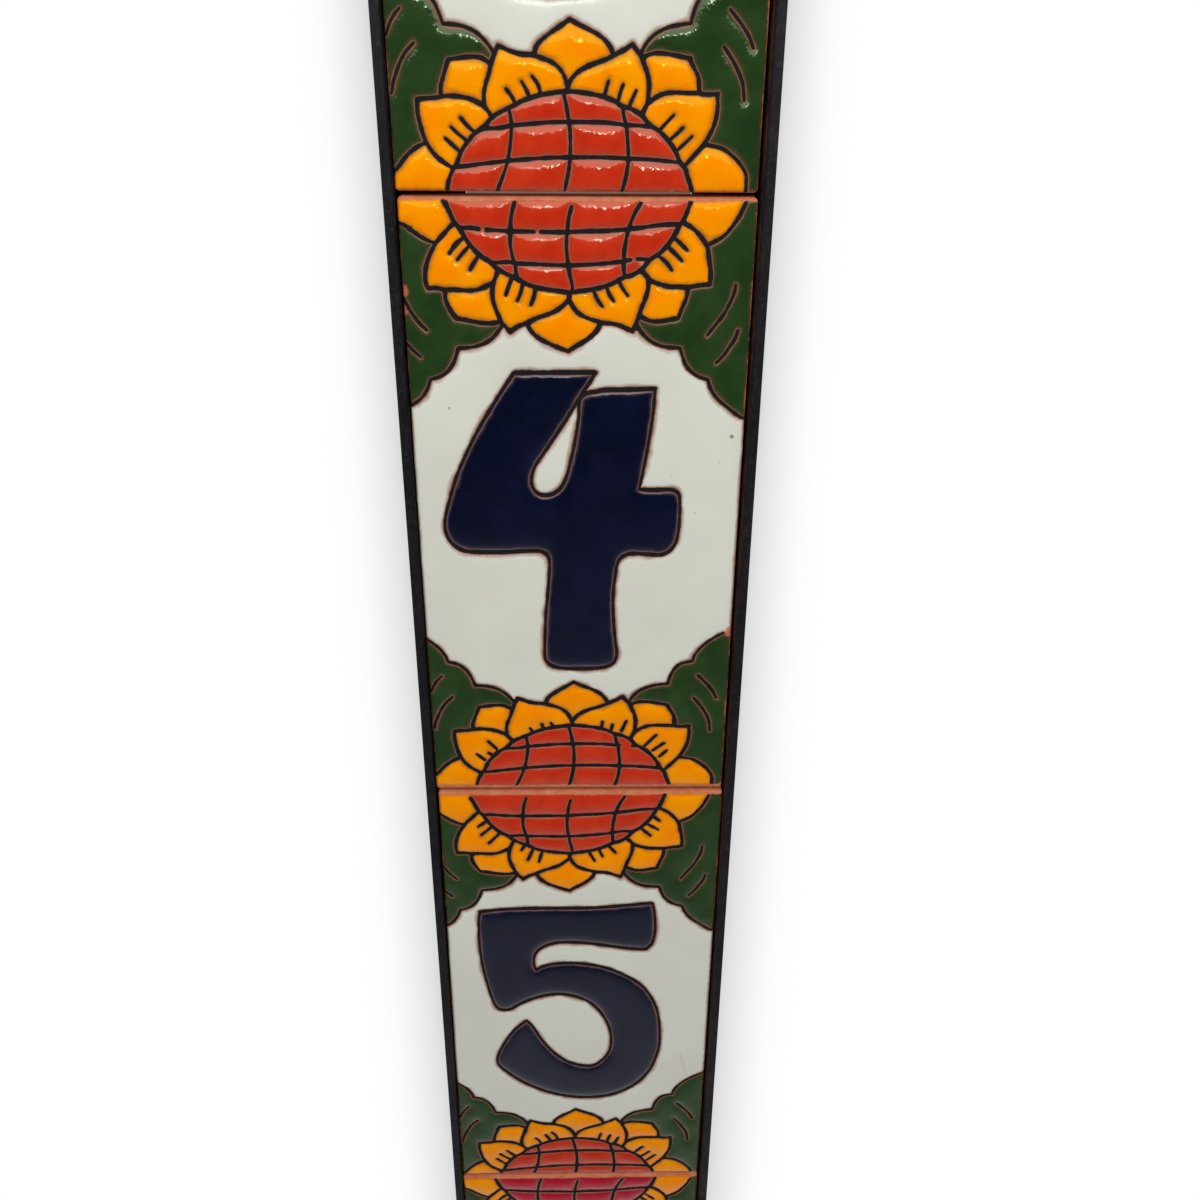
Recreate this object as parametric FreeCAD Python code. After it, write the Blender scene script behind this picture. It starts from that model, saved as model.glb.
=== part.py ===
# House number plaque: a tall welded angle frame, painted, with a column of
# relief-glazed number tiles bedded inside it and an ear with a screw hole at
# each end.
#
# All lengths are in millimetres. +X is to the right and +Z up for someone
# facing the plaque, the wall is the plane Y = 0 and the front faces -Y. The
# origin is midway between the two screw holes, on the wall plane.

import os
import math
import FreeCAD
import Part

V = FreeCAD.Vector

# ---------------------------------------------------------------- dimensions
TILE_W = 76.1              # tile width
TILE_H = 150.5             # tile height
TILE_BODY_T = 6.5          # fired body
GLAZE_T = 0.7              # glaze relief above the body
TILE_CORNER_R = 0.9        # corners of the tile outline
TILE_EDGE_R = 1.0          # rolled front edge of the body
TILE_BACK_CHAMFER = 0.4    # back edge of the body
JOINT = 1.0                # open joint between two tiles
PITCH = TILE_H + JOINT

LEG_T = 2.4                # angle leg thickness, 3/32 in stock
LEG_DEPTH = 16.0           # leg that stands off the wall
LEG_FLANGE = 16.0          # leg that lies on the wall, behind the tiles
ROOT_R = 1.8               # inner root fillet of the angle
TOE_R = 0.9                # rounding of the two toes
HEEL_R = 0.6               # outer heel of the angle
FRAME_W = 82.0             # outer width of the frame
FRAME_H = 612.0            # outer height of the frame

BED_T = 6.2                # adhesive between flange and tile
BED_W = 9.0
BED_L = 132.0
BED_X = 31.4               # centre line of each run of adhesive

WELD_CUT = 2.0             # corner chamfer that the weld fills
WELD_R = 2.6               # bulge radius of the corner weld

EAR_W = 20.0               # flat bar of the ears
EAR_T = 3.0
EAR_HOLE_R = 2.75
EAR_HOLE_Z = 318.0         # hole centre above and below the middle
EAR_WELD = 3.0             # leg of the fillet weld at each ear

# place of each tile: sideways shift and turn, as bedded by hand
TILE_PLACES = {
    "number_tile_3": (-0.25, 227.25, -0.15),
    "number_tile_4": (-0.30, 75.75, -0.05),
    "number_tile_5": (-0.20, -75.75, -0.15),
    "number_tile_6": (-0.10, -227.25, 0.18),
}

HX = FRAME_W / 2.0
HZ = FRAME_H / 2.0
TILE_BACK_Y = -(LEG_T + BED_T)
TILE_BODY_Y = TILE_BACK_Y - TILE_BODY_T
TILE_FACE_Y = TILE_BODY_Y - GLAZE_T

# Raised glaze fields in the tile's own X, Z plane. Each entry is an outline
# and, after it, any holes in it. The narrow gaps left between the fields are
# the bare lines of the design.
FLOWER_FIELDS = [
    [[(-36.8, -74.2), (-28, -74.3), (-26.7, -70.8), (-29.3, -69.1), (-31.5, -66.3), (-32, -66.4), (-34.5, -67.9), (-36.8, -70.4)]],
    [[(-26.8, -74.2), (-17.4, -74.3), (-15.6, -69.8), (-25.4, -70.8), (-26.4, -72.5)]],
    [[(-16.2, -74.2), (-3.5, -74.3), (-2.4, -69), (-5.7, -68.9), (-14.1, -69.5)]],
    [[(-2.3, -74.3), (8.6, -74.3), (9.2, -72.5), (9.7, -69.1), (4.5, -68.8), (-1.3, -68.9)]],
    [[(22.8, -74.2), (21.8, -71.1), (20.8, -69.8), (13.2, -69.1), (10.7, -69.2), (9.8, -74.3)]],
    [[(34.5, -74.2), (34.4, -72), (33.6, -70.5), (31.4, -68.3), (29.1, -66.9), (26.1, -66.3), (22.5, -70.1), (24, -74.3)]],
    [[(36.7, -74.3), (36.7, -28.6), (34, -30.1), (31.4, -32.2), (29.6, -34.5), (28.6, -37.1), (25.9, -37.8), (24.6, -38.8), (23.6, -40.5), (22.5, -44), (19.7, -44.2), (16.7, -45.1), (14.8, -46.3), (13.1, -48.7), (16.5, -48.2), (22.5, -49.2), (24.5, -52.6), (24.8, -55.6), (28.7, -55.8), (28.6, -60.7), (28.1, -62.7), (26.8, -65.4), (29.8, -66), (32.8, -68.1), (35.2, -71), (35.5, -72.2), (35.5, -74.2)]],
    [[(-32.2, -58), (-32.3, -59.6), (-31.9, -62), (-30.4, -66.2), (-28.5, -68.4), (-26.2, -69.9), (-24.6, -66.8), (-22.7, -64.4), (-21.6, -63.3), (-19.7, -62.2), (-18.4, -60.7), (-19, -59.7), (-20.2, -58.7), (-23.4, -57.5), (-27.2, -57.3), (-27.7, -57.8), (-28.3, -57.5)]],
    [[(-24.7, -69.6), (-15.2, -68.6), (-14.3, -63), (-19.5, -63.3), (-20.6, -63.9), (-23.3, -66.8)]],
    [[(27.6, -56.8), (24.7, -56.7), (24.2, -57), (23.7, -56.6), (22.5, -56.5), (17.7, -56.6), (14.7, -58.1), (13.6, -60.2), (14.7, -61.6), (17.3, -63.2), (18.9, -64.8), (20.4, -66.8), (21.3, -68.8), (21.9, -69.3), (25.2, -65.7), (27, -62.5), (27.7, -59.8)]],
    [[(-36.8, -68.7), (-34.4, -66.5), (-32, -65.3), (-33.2, -60.8), (-33.2, -57.2), (-32.8, -56.9), (-28.4, -56.4), (-28.2, -54.3), (-26.5, -49.8), (-22.9, -49.1), (-19.9, -49.1), (-17.8, -50), (-17.4, -49), (-18.8, -47.2), (-20.8, -45.5), (-23.4, -44.5), (-27.1, -44.1), (-29.1, -39.7), (-30.8, -38.1), (-33.6, -37.2), (-35.2, -33.8), (-36.8, -32.1)]],
    [[(20, -68.7), (18.7, -66.2), (15.9, -63.5), (14.3, -62.8), (10.3, -62.7), (10.8, -68.1)]],
    [[(-14, -68.5), (-2.4, -67.9), (-2.5, -62.1), (-5.7, -62.1), (-13.3, -62.8)]],
    [[(9.7, -67.9), (9.2, -62.6), (5, -62.1), (-1.4, -62.2), (-1.2, -67.9)]],
    [[(-18.2, -62.3), (-14.4, -61.9), (-14.6, -59.8), (-17, -60.9)]],
    [[(13.4, -61.7), (11.8, -60.2), (10.4, -59.5), (9.5, -59.4), (10.1, -61.6)]],
    [[(-13.3, -61.6), (-2.7, -61.1), (-3.5, -56.5), (-9.2, -57.4), (-13.5, -59.2)]],
    [[(8.9, -61.5), (8.5, -59.1), (7.1, -58.1), (1.9, -56.7), (-1.7, -56.4), (-2.4, -56.6), (-1.5, -61.1), (5.3, -61.1)]],
    [[(-2.7, -55.3), (-4, -52.2), (-5.7, -50.9), (-9.8, -49.6), (-13.3, -49.2), (-15.8, -48.2), (-16.9, -50.6), (-16.7, -51.4), (-17.3, -51.9), (-18.4, -55.1), (-18.7, -57.8), (-18.3, -58.9), (-17.4, -59.9), (-9.9, -56.5)]],
    [[(-1.6, -55.3), (5.2, -56.3), (12.6, -59.4), (13.5, -57.5), (13.7, -54.3), (12.2, -49.8), (10.6, -47.9), (7.3, -49.6), (6.9, -50.3), (6.3, -50.2), (2.4, -51.5), (0.4, -52.5), (-1.1, -53.9)]],
    [[(-27.4, -56.2), (-23, -56.5), (-19.8, -57.7), (-19.6, -55.5), (-18.2, -51.1), (-20.1, -50.1), (-25.6, -50.5), (-27.2, -54.7)]],
    [[(23.8, -55.5), (23.4, -52.8), (21.8, -50.1), (16.3, -49.2), (15, -49.3), (13.4, -49.9), (14.7, -53.9), (14.6, -56.8), (17.9, -55.5)]],
    [[(6.3, -48.9), (5.5, -47.5), (4.1, -46.2), (-1.7, -43.4), (-7.2, -47), (-8.3, -48.8), (-4.2, -50.6), (-3.3, -51.4), (-2.1, -53.5), (0.1, -51.4)]],
    [[(36.8, 74.3), (35.7, 74.3), (34.5, 71.3), (32.4, 68.3), (30.7, 66.7), (28, 65.3), (28.9, 60.3), (29.1, 57.2), (28.4, 56.7), (26.6, 56.7), (24.1, 56.2), (23.8, 54), (22.4, 50.5), (22.5, 49.8), (21.7, 49.2), (21.1, 49.4), (18.1, 48.8), (15.7, 48.8), (13.4, 49.8), (13.1, 48.7), (14.3, 47), (16.7, 45), (18.9, 44.2), (22.7, 43.8), (24, 40.2), (25, 38.9), (26.6, 37.6), (29.1, 36.7), (30, 34.5), (31.4, 32.4), (36.7, 28.2)]],
    [[(-36.8, 68.8), (-36.8, 31.7), (-35.4, 33.1), (-34, 36.2), (-33.4, 36.8), (-31.2, 37.5), (-29.4, 38.9), (-27, 43.8), (-23.7, 44.1), (-20.8, 45.1), (-19.4, 46.1), (-17.5, 48.6), (-19.5, 48.3), (-21.7, 48.4), (-27.6, 49.6), (-29.5, 53.3), (-29.6, 55.6), (-30.7, 55.9), (-32.8, 55.7), (-33.3, 56.1), (-33.7, 57.4), (-33.4, 61.3), (-31.4, 65.5), (-34.4, 67)]],
    [[(-10.8, 48.7), (-10.2, 47.4), (-8.2, 45.7), (-2.6, 43.3), (2.3, 46.4), (4, 48.7), (-0.2, 50.4), (-1.3, 51.4), (-2.4, 53.1), (-4.8, 51.1)]],
    [[(-2.7, 55), (-10.5, 56.4), (-17.1, 59.6), (-18, 57.5), (-18.4, 55.6), (-18.2, 53.4), (-16.9, 49.8), (-15.2, 47.7), (-11.6, 49.7), (-5.1, 52.2), (-3.1, 53.9)]],
    [[(-1.7, 54.5), (-0.5, 52.1), (0.7, 51.1), (5, 49.5), (8.4, 49.1), (11.4, 47.9), (14.1, 55), (14.5, 56.8), (14.4, 58.2), (13.2, 59.7), (6.8, 56.7), (2.5, 55.6), (-1.5, 55.1)]],
    [[(-28.5, 55.6), (-28.6, 54.2), (-28.3, 53.2), (-26.6, 50.4), (-21.4, 49.4), (-18, 49.6), (-19.3, 53.5), (-19.3, 56.6), (-23, 55.4)]],
    [[(23.1, 56.1), (19.3, 56.3), (15.5, 57.4), (15.2, 55), (13.8, 50.8), (16.1, 49.8), (17.9, 49.8), (21.3, 50.5), (22.9, 54.7)]],
    [[(-13.2, 61.1), (-12.9, 58.8), (-11.4, 57.9), (-8.3, 56.9), (-2, 56.2), (-2.9, 60.8)]],
    [[(9.1, 61.5), (-1.7, 60.8), (-1, 56.3), (3.7, 56.9), (7.8, 58.4), (9.2, 59.2)]],
    [[(-32.4, 56.9), (-22.7, 56.5), (-20.8, 57.1), (-19, 58.1), (-18.1, 60.2), (-19.4, 61.6), (-21.1, 62.5), (-22.6, 63.9), (-26.5, 69.3), (-29.3, 66.5), (-29.4, 66), (-30.2, 65.4), (-31.4, 63.5), (-32.7, 59.6), (-32.7, 57.7)]],
    [[(27.8, 57.8), (27.9, 59.9), (27, 64.9), (25.7, 66.9), (24.3, 68.3), (22.1, 69.6), (20.4, 66.7), (18.6, 64.4), (15.6, 62.2), (14.2, 60.4), (15.6, 58.7), (19.1, 57.4), (23.7, 57.2)]],
    [[(-17.7, 61.3), (-14.1, 59.4), (-14.4, 61.3)]],
    [[(14, 62), (12.4, 62.2), (10.2, 61.8), (10.2, 59.6), (10.8, 59.6), (12.6, 60.5)]],
    [[(-3, 61.8), (-3.2, 67.7), (-14.1, 67.8), (-14.2, 65.3), (-13.5, 62.2)]],
    [[(9.8, 68.2), (-2, 67.7), (-2.2, 64.1), (-1.9, 61.9), (3.2, 62), (9.1, 62.7), (9.2, 65.2)]],
    [[(-24.4, 68.5), (-22.6, 65.5), (-20.5, 63.4), (-18.6, 62.3), (-14.7, 62.6), (-15.2, 65), (-15.2, 67.9)]],
    [[(20.6, 69.3), (18, 69.3), (11, 68.4), (10.3, 65.5), (10.1, 62.9), (12.2, 63.2), (15, 63), (18.1, 65.4)]],
    [[(34.6, 74.3), (24.1, 74.3), (22.6, 70.6), (25.1, 69), (27.5, 66.2), (29.5, 67.2), (31.2, 68.5), (33.3, 71.4)]],
    [[(-36.8, 74.3), (-36.8, 70.1), (-33.7, 67.8), (-31.8, 66.8), (-30.7, 66.5), (-27.1, 70.2), (-28.8, 74.3)]],
    [[(12.5, 74.3), (-13.1, 74.3), (-14.1, 69), (-3.1, 68.7), (-2.5, 72.2), (-2.1, 73.5), (-1.6, 73.8), (-1.2, 73.6), (-1.1, 73.1), (-1.8, 70.5), (-1.9, 68.7), (10.1, 69.3), (10.9, 71.6)]],
    [[(-27.6, 74.3), (-25.9, 70.3), (-25.1, 69.5), (-15.1, 69), (-14.9, 71.4), (-14.1, 74.3)]],
    [[(22.9, 74.3), (13.3, 74.3), (13.4, 73.7), (11.3, 69.6), (21.2, 70.4), (22, 71.7)]],
]
DIGIT_THREE_FIELDS = [
    [[(-16.9, -47.9), (-16, -46.9), (-12.9, -48.2), (-9.3, -48.6), (-8.8, -47.2), (-7.9, -46.2), (-2.4, -42.5), (-1.6, -42.3), (4.9, -45.5), (6.3, -46.8), (7.2, -48.4), (9.1, -47.6), (10.4, -46.6), (11.2, -46.5), (11.6, -46.7), (11.6, -47.4), (12.2, -48.1), (13.7, -45.9), (15.3, -44.6), (18.3, -43.4), (21.7, -42.9), (22.8, -39.6), (24, -37.9), (25.4, -36.8), (27.8, -36.3), (28.3, -34.6), (29.2, -33.2), (31.6, -30.6), (33.9, -28.9), (36.8, -27.4), (36.8, 26.9), (34.9, 28.1), (30.6, 31.7), (29.3, 33.5), (28.5, 35.8), (25.7, 36.9), (23.7, 38.7), (21.9, 42.9), (19.1, 43.1), (16.9, 43.7), (14.8, 45), (13, 47), (12.6, 46.5), (11.9, 46.6), (11.2, 46.1), (10.8, 46.4), (10.9, 46.9), (9, 47.8), (7.2, 48.3), (5.1, 48.4), (3.9, 46.5), (2.4, 45.1), (-2, 42.2), (-2.6, 42.1), (-8.6, 44.7), (-10.9, 46.6), (-11.8, 48.2), (-13.5, 47.6), (-14.5, 46.9), (-14.6, 46.3), (-15, 46.1), (-15.9, 46.3), (-16, 47), (-16.7, 47.8), (-18, 46.1), (-20.2, 44.2), (-22.9, 43.2), (-26.4, 42.9), (-27.1, 40.7), (-28.7, 38.1), (-30.4, 36.7), (-33, 35.8), (-34.7, 32.3), (-36.8, 30.4), (-36.8, -30.7), (-34.5, -33), (-32.8, -36.4), (-30.3, -37.1), (-28.3, -39), (-27.3, -40.6), (-26.4, -43.2), (-23.1, -43.5), (-20.7, -44.3), (-18.9, -45.6)], [(-9, 38.7), (-3.9, 39.2), (0.7, 39), (6.7, 37.7), (11.1, 35.9), (15.2, 33.1), (18.2, 29.9), (20.1, 26.3), (20.9, 22.6), (20.6, 18.1), (18.9, 13.3), (17.1, 10.8), (11.1, 4.5), (18.8, -2.6), (20.4, -4.8), (21.7, -7.4), (22.8, -11.7), (22.9, -16.4), (22.4, -19.7), (21.6, -22.5), (20, -25.7), (17.9, -28.8), (15.5, -31.5), (12.7, -33.9), (9.7, -35.9), (6.8, -37.3), (3.4, -38.4), (-1.3, -39.3), (-5.7, -39.4), (-10.9, -38.6), (-15.3, -37.3), (-19.9, -35.1), (-23.6, -32.5), (-26.9, -29.2), (-29.3, -25.8), (-30.2, -23.2), (-29.9, -20.5), (-27.9, -18.2), (-26, -17.3), (-23, -17.2), (-19.9, -18.2), (-12.6, -23.6), (-10.5, -24.8), (-6.3, -26), (-3.1, -26.1), (0.7, -25.2), (3.1, -24), (5.4, -21.8), (7.2, -18.6), (7.8, -15.7), (7.7, -13.2), (7, -10.8), (5.2, -7.9), (3.6, -6.5), (0.5, -5.2), (-2.5, -4.5), (-6.6, -4.4), (-8.4, -3.9), (-10.6, -2.1), (-11.6, 0.5), (-11.3, 4.2), (-10.4, 5.9), (-9.1, 7.2), (-6.8, 8.4), (-2.9, 8.9), (-0.5, 9.6), (2.5, 11.1), (4.4, 12.8), (5.4, 14.5), (6.1, 16.7), (5.8, 19.8), (4.7, 21.9), (2.9, 23.5), (0.6, 24.6), (-1.5, 25), (-4.5, 24.8), (-7.1, 23.8), (-10.5, 21.6), (-14.9, 17.3), (-16.7, 16.6), (-20.3, 15.9), (-24, 16.5), (-25.7, 17.3), (-27.5, 19.1), (-28.6, 21.5), (-28.6, 24.3), (-27.9, 26.5), (-26.1, 29.2), (-23.9, 31.5), (-20.8, 33.9), (-16.9, 36.1), (-12, 38)]],
    [[(-8.6, 37.7), (-11.2, 37.1), (-15.8, 35.4), (-19.6, 33.4), (-23, 30.9), (-25.4, 28.4), (-27.1, 25.6), (-27.7, 23.2), (-27.5, 21.5), (-26.4, 19.4), (-24.9, 18), (-20.5, 17), (-15.5, 18.2), (-10.5, 22.9), (-8.1, 24.5), (-4.9, 25.8), (-1.2, 26), (0.6, 25.7), (3.3, 24.5), (5.5, 22.6), (6.6, 20.8), (7.1, 18.7), (6.9, 15.5), (5.5, 12.5), (3.8, 10.7), (0.9, 9), (-2, 8), (-6.4, 7.4), (-8.7, 6.2), (-10.2, 4), (-10.6, 0.8), (-9.7, -1.5), (-7.5, -3.1), (-2.2, -3.5), (0.5, -4.1), (3.7, -5.3), (5.8, -7), (7.3, -9), (8.6, -12.3), (8.8, -15.9), (8, -19.6), (6.2, -22.5), (3.5, -25), (-0.1, -26.6), (-2.9, -27.1), (-7.2, -26.9), (-11.2, -25.7), (-13.6, -24.2), (-20.3, -19.2), (-23.4, -18.2), (-26, -18.4), (-27.8, -19.5), (-29, -21.2), (-29.2, -22.9), (-28.4, -25.2), (-25.5, -29.2), (-23.3, -31.4), (-19.6, -34), (-16.3, -35.7), (-12.1, -37.2), (-7.3, -38.2), (-2.6, -38.4), (1.4, -37.8), (5, -36.8), (8.7, -35.2), (11.6, -33.4), (14.4, -31.1), (17.2, -28), (19.3, -24.8), (20.6, -22), (21.8, -17), (21.9, -12.8), (20.5, -7.4), (18.1, -3.4), (14.1, 0.6), (11.2, 2.7), (10.1, 4.2), (10.6, 5.8), (13.4, 8.3), (17.7, 13.4), (19.6, 18.5), (19.9, 22.3), (19, 26.1), (17.2, 29.5), (14.4, 32.4), (11, 34.7), (6, 36.8), (1.1, 37.9), (-3.6, 38.2)]],
]
DIGIT_FOUR_FIELDS = [
    [[(-16.9, -47.9), (-16, -46.9), (-12.9, -48.2), (-9.3, -48.6), (-8.8, -47.2), (-7.9, -46.2), (-2.4, -42.5), (-1.6, -42.3), (4.9, -45.5), (6.3, -46.8), (7.2, -48.4), (9.1, -47.6), (10.4, -46.6), (11.2, -46.5), (11.6, -46.7), (11.6, -47.4), (12.2, -48.1), (13.7, -45.9), (15.3, -44.6), (18.3, -43.4), (21.7, -42.9), (22.8, -39.6), (24, -37.9), (25.4, -36.8), (27.8, -36.3), (28.3, -34.6), (29.2, -33.2), (31.6, -30.6), (33.9, -28.9), (36.8, -27.4), (36.8, 26.9), (34.9, 28.1), (30.6, 31.7), (29.3, 33.5), (28.5, 35.8), (25.7, 36.9), (23.7, 38.7), (21.9, 42.9), (19.1, 43.1), (16.9, 43.7), (14.8, 45), (13, 47), (12.6, 46.5), (11.9, 46.6), (11.2, 46.1), (10.8, 46.4), (10.9, 46.9), (9, 47.8), (7.2, 48.3), (5.1, 48.4), (3.9, 46.5), (2.4, 45.1), (-2, 42.2), (-2.6, 42.1), (-8.6, 44.7), (-10.9, 46.6), (-11.8, 48.2), (-13.5, 47.6), (-14.5, 46.9), (-14.6, 46.3), (-15, 46.1), (-15.9, 46.3), (-16, 47), (-16.7, 47.8), (-18, 46.1), (-20.2, 44.2), (-22.9, 43.2), (-26.4, 42.9), (-27.1, 40.7), (-28.7, 38.1), (-30.4, 36.7), (-33, 35.8), (-34.7, 32.3), (-36.8, 30.4), (-36.8, -30.7), (-34.5, -33), (-32.8, -36.4), (-30.3, -37.1), (-28.3, -39), (-27.3, -40.6), (-26.4, -43.2), (-23.1, -43.5), (-20.7, -44.3), (-18.9, -45.6)], [(5.5, -38.6), (-4.8, -38.7), (-7.6, -37.8), (-9.1, -36.2), (-9.4, -35), (-9.1, -24.8), (-7.8, -9.9), (-7.9, -8.1), (-8.6, -6.8), (-10.3, -6.2), (-17.9, -6.6), (-27.4, -6.3), (-29.1, -5.7), (-30.6, -4.5), (-31.9, -2.7), (-32.4, -1.2), (-32.6, 1.4), (-32.1, 4.2), (-29.5, 12.6), (-27.8, 16.7), (-22.9, 26.1), (-18.7, 32.8), (-14.8, 38.3), (3.7, 38.4), (4.1, 37.7), (1.7, 33.6), (5.9, 34.4), (17.1, 34.6), (17.6, 34.2), (16.7, 23.4), (14.5, 10.5), (17, 10.2), (21.5, 10.4), (22.8, 10), (23.6, 9.2), (24, 8.2), (24.2, 5.5), (23.9, -2.1), (22.8, -5.2), (20.7, -7.1), (17.9, -7.4), (12.5, -7), (10.6, -7.7), (10, -8.3), (9.3, -10.2), (8.6, -16.7), (8.7, -24.4), (9.7, -33.2), (9.6, -35.1), (9.1, -36.6), (8.3, -37.5)]],
    [[(5.2, -37.6), (6.9, -37.1), (8, -36.3), (8.7, -34), (7.7, -24.7), (7.6, -16.4), (8.1, -11.2), (8.7, -8.4), (9.9, -6.9), (12.1, -6), (18.2, -6.4), (20, -6.2), (21.8, -4.8), (22.9, -1.8), (23.2, 5.2), (23, 7.8), (22.6, 8.7), (21.1, 9.4), (16.8, 9.2), (14.2, 9.4), (13.4, 9.9), (15.8, 24.5), (16.5, 33.5), (5.2, 33.3), (2.6, 32.8), (0.8, 31.9), (0.4, 30.7), (0.3, 27.2), (-0.6, 21.2), (-2.6, 12.7), (-3.9, 10.2), (-5.2, 8.9), (-6.8, 8.1), (-8.9, 8), (-10.4, 8.7), (-11.5, 10.1), (-11.8, 11.1), (-11.8, 13), (-11.4, 14.8), (-10.3, 17), (-4.8, 25.2), (2.6, 37.3), (-14.4, 37.3), (-22.2, 25.2), (-27.4, 14.9), (-29.5, 9.2), (-31.4, 2.6), (-31.6, 0.8), (-31.3, -1.2), (-30.7, -2.6), (-29.6, -4), (-28, -5), (-26.6, -5.4), (-18.1, -5.6), (-10, -5.2), (-8.2, -5.8), (-7.1, -7), (-6.8, -8.8), (-8.1, -25), (-8.4, -31.7), (-8.2, -35.5), (-7, -36.9), (-4.4, -37.7)]],
    [[(-0.8, 29.7), (-10.2, 14.9), (-10.7, 13.3), (-10.8, 11.5), (-10.2, 10), (-9.2, 9.2), (-7.7, 9), (-6.2, 9.5), (-4.9, 10.6), (-4, 12.2), (-3.1, 14.8), (-1.6, 21.6), (-0.7, 27.5)]],
]
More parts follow.
